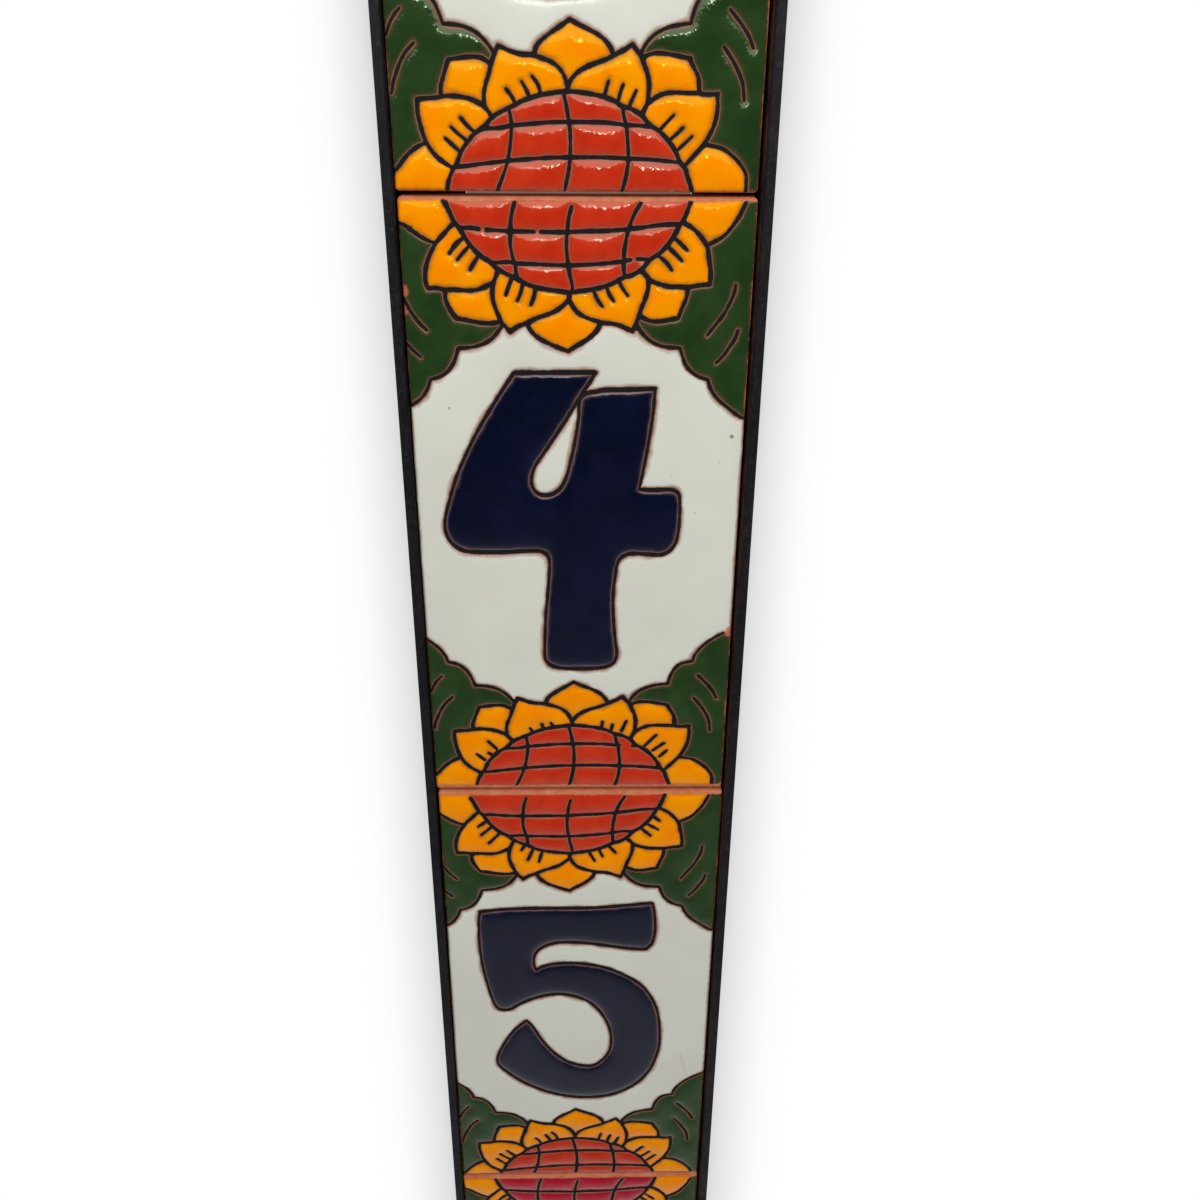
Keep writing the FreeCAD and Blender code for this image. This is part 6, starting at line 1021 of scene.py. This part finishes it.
def paint_material(name, rust=0.35, inner=0.0):
    """Dull black paint over steel: fine orange peel, grey scuffs, rust spots."""
    g = Graph(name)
    base = g.mix(g.ramp(g.noise(9.0, 4.0, 0.6), 0.3, 0.7), srgb(11, 11, 14), srgb(19, 19, 23))
    fleck = g.ramp(g.noise(0.9, 4.0, 0.7, distort=0.5, shift=2.0), 0.50, 0.68)
    base = g.mix(g.math("MULTIPLY", fleck, 0.36), base, srgb(54, 57, 64))
    patch = g.ramp(g.noise(16.0, 3.0, 0.55, shift=21.0), 0.44, 0.62)
    spots = g.ramp(g.noise(1.6, 5.0, 0.72, distort=0.4, shift=31.0), 0.50, 0.62)
    amount = g.math("MULTIPLY", g.math("MULTIPLY", patch, spots), rust)
    tint = g.mix(g.ramp(g.noise(0.9, 3.0, shift=41.0), 0.35, 0.65), srgb(42, 31, 26), srgb(64, 45, 35))
    if inner:
        # rust along the edge beside the tiles and down the face that they hide
        sep = g.add("ShaderNodeSeparateXYZ")
        g.link(g.coords, sep.inputs[0])
        x = g.math("ABSOLUTE", g.math("MULTIPLY", sep.outputs["X"], 1000.0))
        x = g.math("ADD", x, g.math("MULTIPLY", g.math("SUBTRACT", g.noise(4.0, 4.0, 0.65, shift=61.0), 0.5), 1.1))
        edge = g.math("MULTIPLY", g.ramp(x, 38.40, 39.25, 1.0, 0.0), g.ramp(patch, 0.0, 0.35, 0.45, 1.0))
        deep = g.math("ADD", g.math("MULTIPLY", sep.outputs["Y"], 1000.0), g.math("MULTIPLY", g.noise(3.0, 3.0, shift=71.0), 3.0))
        edge = g.math("MULTIPLY", edge, g.ramp(deep, -9.5, -7.5, 1.0, 0.0))
        amount = g.math("MAXIMUM", amount, g.math("MULTIPLY", edge, inner))
        side = g.ramp(g.math("ABSOLUTE", g.math("MULTIPLY", sep.outputs["X"], 1000.0)), 38.605, 38.64, 1.0, 0.0)
        tint = g.mix(side, tint, srgb(122, 94, 76))
    c = g.mix(amount, base, tint)
    r = g.ramp(g.noise(2.5, 3.0, 0.6, shift=51.0), 0.3, 0.7, 0.42, 0.62)
    n = g.bump(g.noise(0.7, 3.0, 0.6, shift=5.0), 0.55, 0.05)
    n = g.bump(g.noise(5.0, 3.0, 0.55, shift=8.0), 0.5, 0.12, n)
    return g.finish(c, r, n, ior=1.5, level=0.2)


def adhesive_material():
    g = Graph("adhesive_grey")
    c = g.mix(g.ramp(g.noise(2.5, 4.0, 0.6), 0.35, 0.7), srgb(122, 119, 112), srgb(156, 152, 143))
    n = g.bump(g.noise(1.2, 4.0, 0.6), 0.7, 0.3)
    return g.finish(c, 0.78, n, ior=1.4)


MATS = {
    "line": line_material(),
    "bisque": bisque_material(),
    "white": glaze_material("glaze_white", (223, 225, 211), (219, 218, 206), (184, 165, 150), (0.20, 0.98),
                            (142, 98, 76), (0.04, 0.34), mottle=22.0, rough=0.21, orange_peel=0.012, specks=6.0,
                            speck_colour=(120, 116, 92), ripple=0.30,
                            marks=[((35.0, -15.7, 98.75), 0.52, (84, 100, 56), 0.75),
                                   ((32.5, -15.7, 92.45), 0.26, (140, 142, 126), 0.4),
                                   ((21.4, -15.7, 89.05), 0.24, (140, 142, 126), 0.4),
                                   ((27.2, -15.7, 79.95), 0.26, (140, 142, 126), 0.4),
                                   ((-29.5, -15.7, 105.5), 0.35, (150, 136, 84), 0.6),
                                   ((37.3, -15.2, 48.3), 1.15, (196, 124, 84), 0.9)]
                            + [((30.2 + 0.22 * k, -15.7, -97.5 - k), 0.62, (206, 184, 128), 0.28)
                               for k in range(9)]),
    "navy": glaze_material("glaze_navy", (3, 8, 32), (9, 14, 43), (52, 42, 56), (0.20, 0.85),
                           (114, 82, 78), (0.05, 0.38), mottle=9.0, rough=0.10, ripple=0.25, orange_peel=0.006),
    "yellow": glaze_material("glaze_yellow", (255, 157, 0), (255, 141, 0), (222, 130, 12), (0.15, 0.95),
                             (160, 102, 52), (0.02, 0.34), mottle=7.0, rough=0.085,
                             pool=((255, 134, 0), 0.45, 0.95, 0.4), tint=(0.64, 0.68, 0.10)),
    "red": glaze_material("glaze_red", (194, 43, 18), (205, 54, 23), (186, 58, 34), (0.18, 1.0),
                          (160, 90, 70), (0.02, 0.33), mottle=5.0, rough=0.085,
                          marks=[((13.6, -15.6, 137.6), 0.85, (204, 124, 96), 0.85)], tint=(0.70, 0.86, 0.64)),
    "green": glaze_material("glaze_green", (31, 56, 25), (42, 66, 31), (74, 64, 38), (0.20, 0.95),
                            (128, 90, 64), (0.03, 0.36), mottle=7.0, rough=0.095,
                            pool=((27, 50, 24), 0.5, 0.9, 0.4), tint=(0.64, 0.78, 0.54), orange_peel=0.019,
                            marks=[((37.3, -15.2, 47.6), 1.30, (190, 116, 76), 0.85),
                                   ((-38.6, -15.0, 131.6), 1.60, (196, 112, 66), 0.9),
                                   ((-38.6, -15.0, 127.2), 1.20, (196, 112, 66), 0.85)]),
    "crimson": glaze_material("glaze_crimson", (184, 18, 44), (170, 14, 40), (160, 40, 50), (0.15, 0.9),
                              (168, 100, 84), (0.05, 0.38), mottle=5.0, rough=0.11),
}

# -------------------------------------------------------------------- tiles
TURN_TOP, TURN_LOW = (0.0, 60.0), (0.0, -60.0)
DIGIT_SEEDS = {"number_tile_3": (-5.0, 31.5), "number_tile_4": (4.6, 3.0),
               "number_tile_5": (-20.0, 30.0), "number_tile_6": (-20.0, -10.0)}
SPECS = {
    "number_tile_3": dict(seed=31, top=moved(LINES_TOP_1, (0.5, -0.4), -0.5, TURN_TOP), low=LINES_LOW_1,
                          digit=DIGIT_3, place=(-0.25, 227.25, -0.15), rims=(0.7, 0.30, 0.04, 0.22), bold=-0.04),
    "number_tile_4": dict(seed=42, top=LINES_TOP_1, low=moved(LINES_LOW_2, (0, 0.2), 0, TURN_LOW), digit=DIGIT_4,
                          place=(-0.30, 75.75, -0.05), rims=(0.75, 1.4, 0.02, 0.18), bold=0.02, fuller={"green": 0.55},
                          gaps=[("h1", -20.2, 68.7, 0.83), ("h1", -8.6, 68.3, 0.76), ("h2", 12.0, 62.6, 0.80),
                                ("h1", 12.3, -61.6, 1.70), ("r3", 38.1, -27.6, 2.1)]),
    "number_tile_5": dict(seed=53, top=moved(LINES_TOP_2, (0, 0.2), 0, TURN_TOP), low=LINES_LOW_3, digit=DIGIT_5,
                          place=(-0.20, -75.75, -0.15), rims=(0.9, 0.6, 0.10, 0.10), bold=0.02, fuller={"green": 0.75}),
    "number_tile_6": dict(seed=64, top=moved(LINES_TOP_1, (0.3, -0.5), -0.3, TURN_TOP),
                          low=moved(LINES_LOW_1, (0.3, -0.8), 0.4, TURN_LOW), digit=DIGIT_6,
                          place=(-0.10, -227.25, 0.18), rims=(0.9, 0.7, 0.12, 0.12), bold=0.03, paint={"red": "crimson"}),
}
for node, spec in SPECS.items():
    spec["glaze"] = 1.0
    spec["fields"] = FIELDS_TOP + FIELDS_LOW + [("navy", [DIGIT_SEEDS[node]])]
    tile = make_tile("glazed_" + node, spec, MATS)
    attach(tile, "root")
    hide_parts(node)

# -------------------------------------------------- frame keeps its CAD shape
paint_left = paint_material("black_paint", rust=0.22)
paint_right = paint_material("black_paint_worn", rust=0.55, inner=0.70)
weld_paint = paint_material("black_paint_weld", rust=0.45)
for node, mat in (("left_stile", paint_left), ("right_stile", paint_right), ("top_rail", paint_left),
                  ("bottom_rail", paint_left), ("top_ear", paint_left), ("bottom_ear", paint_left),
                  ("corner_welds", weld_paint), ("ear_welds", weld_paint)):
    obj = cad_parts[node]
    obj.data.materials.clear()
    obj.data.materials.append(mat)
glue = adhesive_material()
for n in "3456":
    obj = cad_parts["adhesive_tile_" + n]
    obj.data.materials.clear()
    obj.data.materials.append(glue)

# -------------------------------------------------------------- surroundings
def wall():
    s = 3.0
    mesh = bpy.data.meshes.new("wall")
    y = WALL_Y * MM
    mesh.from_pydata([(-s, y, -s), (s, y, -s), (s, y, s), (-s, y, s)], [], [(0, 1, 2, 3)])
    obj = bpy.data.objects.new("wall", mesh)
    bpy.context.scene.collection.objects.link(obj)
    mat = bpy.data.materials.new("wall_white_painted_shadow")
    mat.use_nodes = True
    t = mat.node_tree
    t.nodes.clear()
    out = t.nodes.new("ShaderNodeOutputMaterial")
    emit = t.nodes.new("ShaderNodeEmission")
    clear = t.nodes.new("ShaderNodeBsdfTransparent")
    mixer = t.nodes.new("ShaderNodeMixShader")
    geo = t.nodes.new("ShaderNodeNewGeometry")
    tc = t.nodes.new("ShaderNodeTexCoord")
    sep = t.nodes.new("ShaderNodeSeparateXYZ")
    t.links.new(tc.outputs["Object"], sep.inputs[0])
    def calc(op, x, y=0.0):
        n = t.nodes.new("ShaderNodeMath")
        n.operation = op
        for sock, v in zip(n.inputs, (x, y)):
            if hasattr(v, "links"):
                t.links.new(v, sock)
            else:
                sock.default_value = v
        return n.outputs[0]

    # The wall glows white with a painted shadow beside and behind the plaque: grey at the frame's sides, fading to
    # white further out, spread wider lower down and ending above and below the plaque.
    beside = calc("SUBTRACT", calc("ABSOLUTE", sep.outputs["X"]), 0.04355)
    depth = calc("MULTIPLY_ADD", calc("MINIMUM", sep.outputs["Z"], 0.30), -0.4439)
    depth.node.inputs[2].default_value = 0.327
    spread = calc("DIVIDE", calc("MULTIPLY", beside, 1.17), calc("MINIMUM", depth, 0.46))
    ramp = t.nodes.new("ShaderNodeValToRGB")
    m = t.nodes.new("ShaderNodeMapRange")
    m.inputs["From Min"].default_value = -0.02
    m.inputs["From Max"].default_value = 0.08
    t.links.new(spread, m.inputs["Value"])
    t.links.new(m.outputs[0], ramp.inputs[0])
    cr = ramp.color_ramp
    cr.elements[0].position = 0.0
    cr.elements[0].color = srgb(206, 206, 206)
    cr.elements[1].position = 1.0
    cr.elements[1].color = srgb(255, 255, 255)
    for pos, v in ((0.12, 208), (0.19, 216), (0.24, 222), (0.28, 227), (0.34, 231), (0.40, 236),
                   (0.48, 241), (0.56, 246), (0.66, 250.5), (0.80, 253.5)):
        e = cr.elements.new(pos)
        e.color = srgb(v, v, v)
    fades = []
    for lo, hi in ((0.32, 0.20), (-0.80, -0.66)):     # the shade ends above and below the plaque
        fade = t.nodes.new("ShaderNodeMapRange")
        fade.interpolation_type = "SMOOTHSTEP"
        fade.inputs["From Min"].default_value = lo
        fade.inputs["From Max"].default_value = hi
        t.links.new(sep.outputs["Z"], fade.inputs["Value"])
        fades.append(fade.outputs[0])
    shade = t.nodes.new("ShaderNodeMix")
    shade.data_type = "RGBA"
    t.links.new(calc("MULTIPLY", fades[0], fades[1]), shade.inputs[0])
    shade.inputs[6].default_value = srgb(255, 255, 255)
    t.links.new(ramp.outputs[0], shade.inputs[7])
    t.links.new(shade.outputs[2], emit.inputs["Color"])
    t.links.new(geo.outputs["Backfacing"], mixer.inputs[0])
    t.links.new(emit.outputs[0], mixer.inputs[1])
    t.links.new(clear.outputs[0], mixer.inputs[2])
    t.links.new(mixer.outputs[0], out.inputs["Surface"])
    mesh.materials.append(mat)
    obj.visible_shadow = False
    obj.visible_diffuse = False
    obj.visible_glossy = False
    return obj


wall()


def shade_card():
    """A dark card of painted shade, standing in for the shaded backdrop that shows as a thin strip through the upper
    joint.

    It is seen from the front only, so it hides nothing of the back."""
    mesh = bpy.data.meshes.new("shade_card")
    x, y, lo, hi = 24.8 * MM, -1.0 * MM, 146.0 * MM, 153.5 * MM
    mesh.from_pydata([(-x, y, lo), (x, y, lo), (x, y, hi), (-x, y, hi)], [], [(0, 1, 2, 3)])
    obj = bpy.data.objects.new("shade_card", mesh)
    bpy.context.scene.collection.objects.link(obj)
    mat = bpy.data.materials.new("shade")
    mat.use_nodes = True
    t = mat.node_tree
    t.nodes.clear()
    out = t.nodes.new("ShaderNodeOutputMaterial")
    emit = t.nodes.new("ShaderNodeEmission")
    # painted shade: the card glows a flat dark brownish grey, the tone of the backdrop in the plaque's shadow
    emit.inputs["Color"].default_value = srgb(116, 96, 88)
    clear = t.nodes.new("ShaderNodeBsdfTransparent")
    mixer = t.nodes.new("ShaderNodeMixShader")
    geo = t.nodes.new("ShaderNodeNewGeometry")
    t.links.new(geo.outputs["Backfacing"], mixer.inputs[0])
    t.links.new(emit.outputs[0], mixer.inputs[1])
    t.links.new(clear.outputs[0], mixer.inputs[2])
    t.links.new(mixer.outputs[0], out.inputs["Surface"])
    mesh.materials.append(mat)
    obj.visible_shadow = False
    obj.visible_diffuse = False
    obj.visible_glossy = False


shade_card()


def area_light(name, place, aim, size, power, colour=(1, 1, 1)):
    data = bpy.data.lights.new(name, "AREA")
    data.shape = "RECTANGLE"
    data.size, data.size_y = size
    data.energy = power
    data.color = colour
    obj = bpy.data.objects.new(name, data)
    bpy.context.scene.collection.objects.link(obj)
    obj.location = place
    obj.rotation_mode = "QUATERNION"
    obj.rotation_quaternion = (Vector(aim) - Vector(place)).to_track_quat("-Z", "Y")
    return obj


def radiant(size, radiance):
    """Power in watts for an even area light of this size and radiance."""
    return radiance * math.pi * size[0] * size[1]


LOW_EDGE, HIGH_EDGE = Vector((0.0, -0.80, 0.36)), Vector((0.0, -0.58, 1.00))
key_size = (0.95, (HIGH_EDGE - LOW_EDGE).length)
key_at = (LOW_EDGE + HIGH_EDGE) / 2
key_to = (HIGH_EDGE - LOW_EDGE).normalized().cross(Vector((1, 0, 0)))
if key_to.y < 0:
    key_to = -key_to
area_light("key", key_at, key_at + key_to, key_size, radiant(key_size, 3.85))
strip_size = (0.18, 0.018)
area_light("strip", (0.03, -0.79, 0.375), (0.0, 0.0, 0.15), strip_size, radiant(strip_size, 54.0))

world = bpy.data.worlds.new("studio")
bpy.context.scene.world = world
world.use_nodes = True
wt = world.node_tree
wt.nodes.clear()
w_out = wt.nodes.new("ShaderNodeOutputWorld")
w_bg = wt.nodes.new("ShaderNodeBackground")
w_tc = wt.nodes.new("ShaderNodeTexCoord")
w_sep = wt.nodes.new("ShaderNodeSeparateXYZ")
w_ramp = wt.nodes.new("ShaderNodeValToRGB")
w_map = wt.nodes.new("ShaderNodeMapRange")
wt.links.new(w_tc.outputs["Generated"], w_sep.inputs[0])
wt.links.new(w_sep.outputs["Z"], w_map.inputs["Value"])
w_map.inputs["From Min"].default_value = -1.0
w_map.inputs["From Max"].default_value = 1.0
wt.links.new(w_map.outputs[0], w_ramp.inputs[0])
cr = w_ramp.color_ramp
cr.elements[0].position, cr.elements[0].color = 0.0, (0.93, 0.93, 0.95, 1)
cr.elements[1].position, cr.elements[1].color = 1.0, (0.31, 0.31, 0.32, 1)
for p, v in ((0.06, 0.79), (0.13, 0.48), (0.22, 0.24), (0.34, 0.06), (0.50, 0.06), (0.56, 0.10), (0.66, 0.21)):
    e = cr.elements.new(p)
    e.color = (v, v, v * 1.03, 1)
wt.links.new(w_ramp.outputs[0], w_bg.inputs["Color"])
w_bg.inputs["Strength"].default_value = 1.0
wt.links.new(w_bg.outputs[0], w_out.inputs["Surface"])

# ------------------------------------------------------------------- camera
cam_data = bpy.data.cameras.new("camera")
cam = bpy.data.objects.new("camera", cam_data)
bpy.context.scene.collection.objects.link(cam)
TILT, YAW, ROLL = 0.45992179, -0.01984597, 0.00590504
FOCAL = 1169.779 / 1200.0
cam_data.sensor_fit = "AUTO"
cam_data.sensor_width = 36.0
cam_data.lens = 36.0 * FOCAL
fwd = Vector((0, math.cos(TILT), -math.sin(TILT)))
right = Vector((1, 0, 0))
up = Vector((0, math.sin(TILT), math.cos(TILT)))
rz = Matrix.Rotation(YAW, 3, "Z")
fwd, right, up = rz @ fwd, rz @ right, rz @ up
r2 = right * math.cos(ROLL) + up * math.sin(ROLL)
u2 = -right * math.sin(ROLL) + up * math.cos(ROLL)
m = Matrix((r2, u2, -fwd)).transposed().to_4x4()
m.translation = Vector((-0.22077580, -257.44809671 - 15.15, 32.78843146 + 151.5)) * MM
cam.matrix_world = m
cam_data.clip_start, cam_data.clip_end = 0.01, 20.0
cam_data.dof.use_dof = False
bpy.context.scene.camera = cam

scene = bpy.context.scene
scene.view_settings.view_transform = "Standard"
scene.view_settings.look = "None"
scene.view_settings.exposure = 0.0
scene.view_settings.gamma = 1.0
scene.cycles.use_denoising = True
scene.cycles.max_bounces = 8
scene.render.film_transparent = False
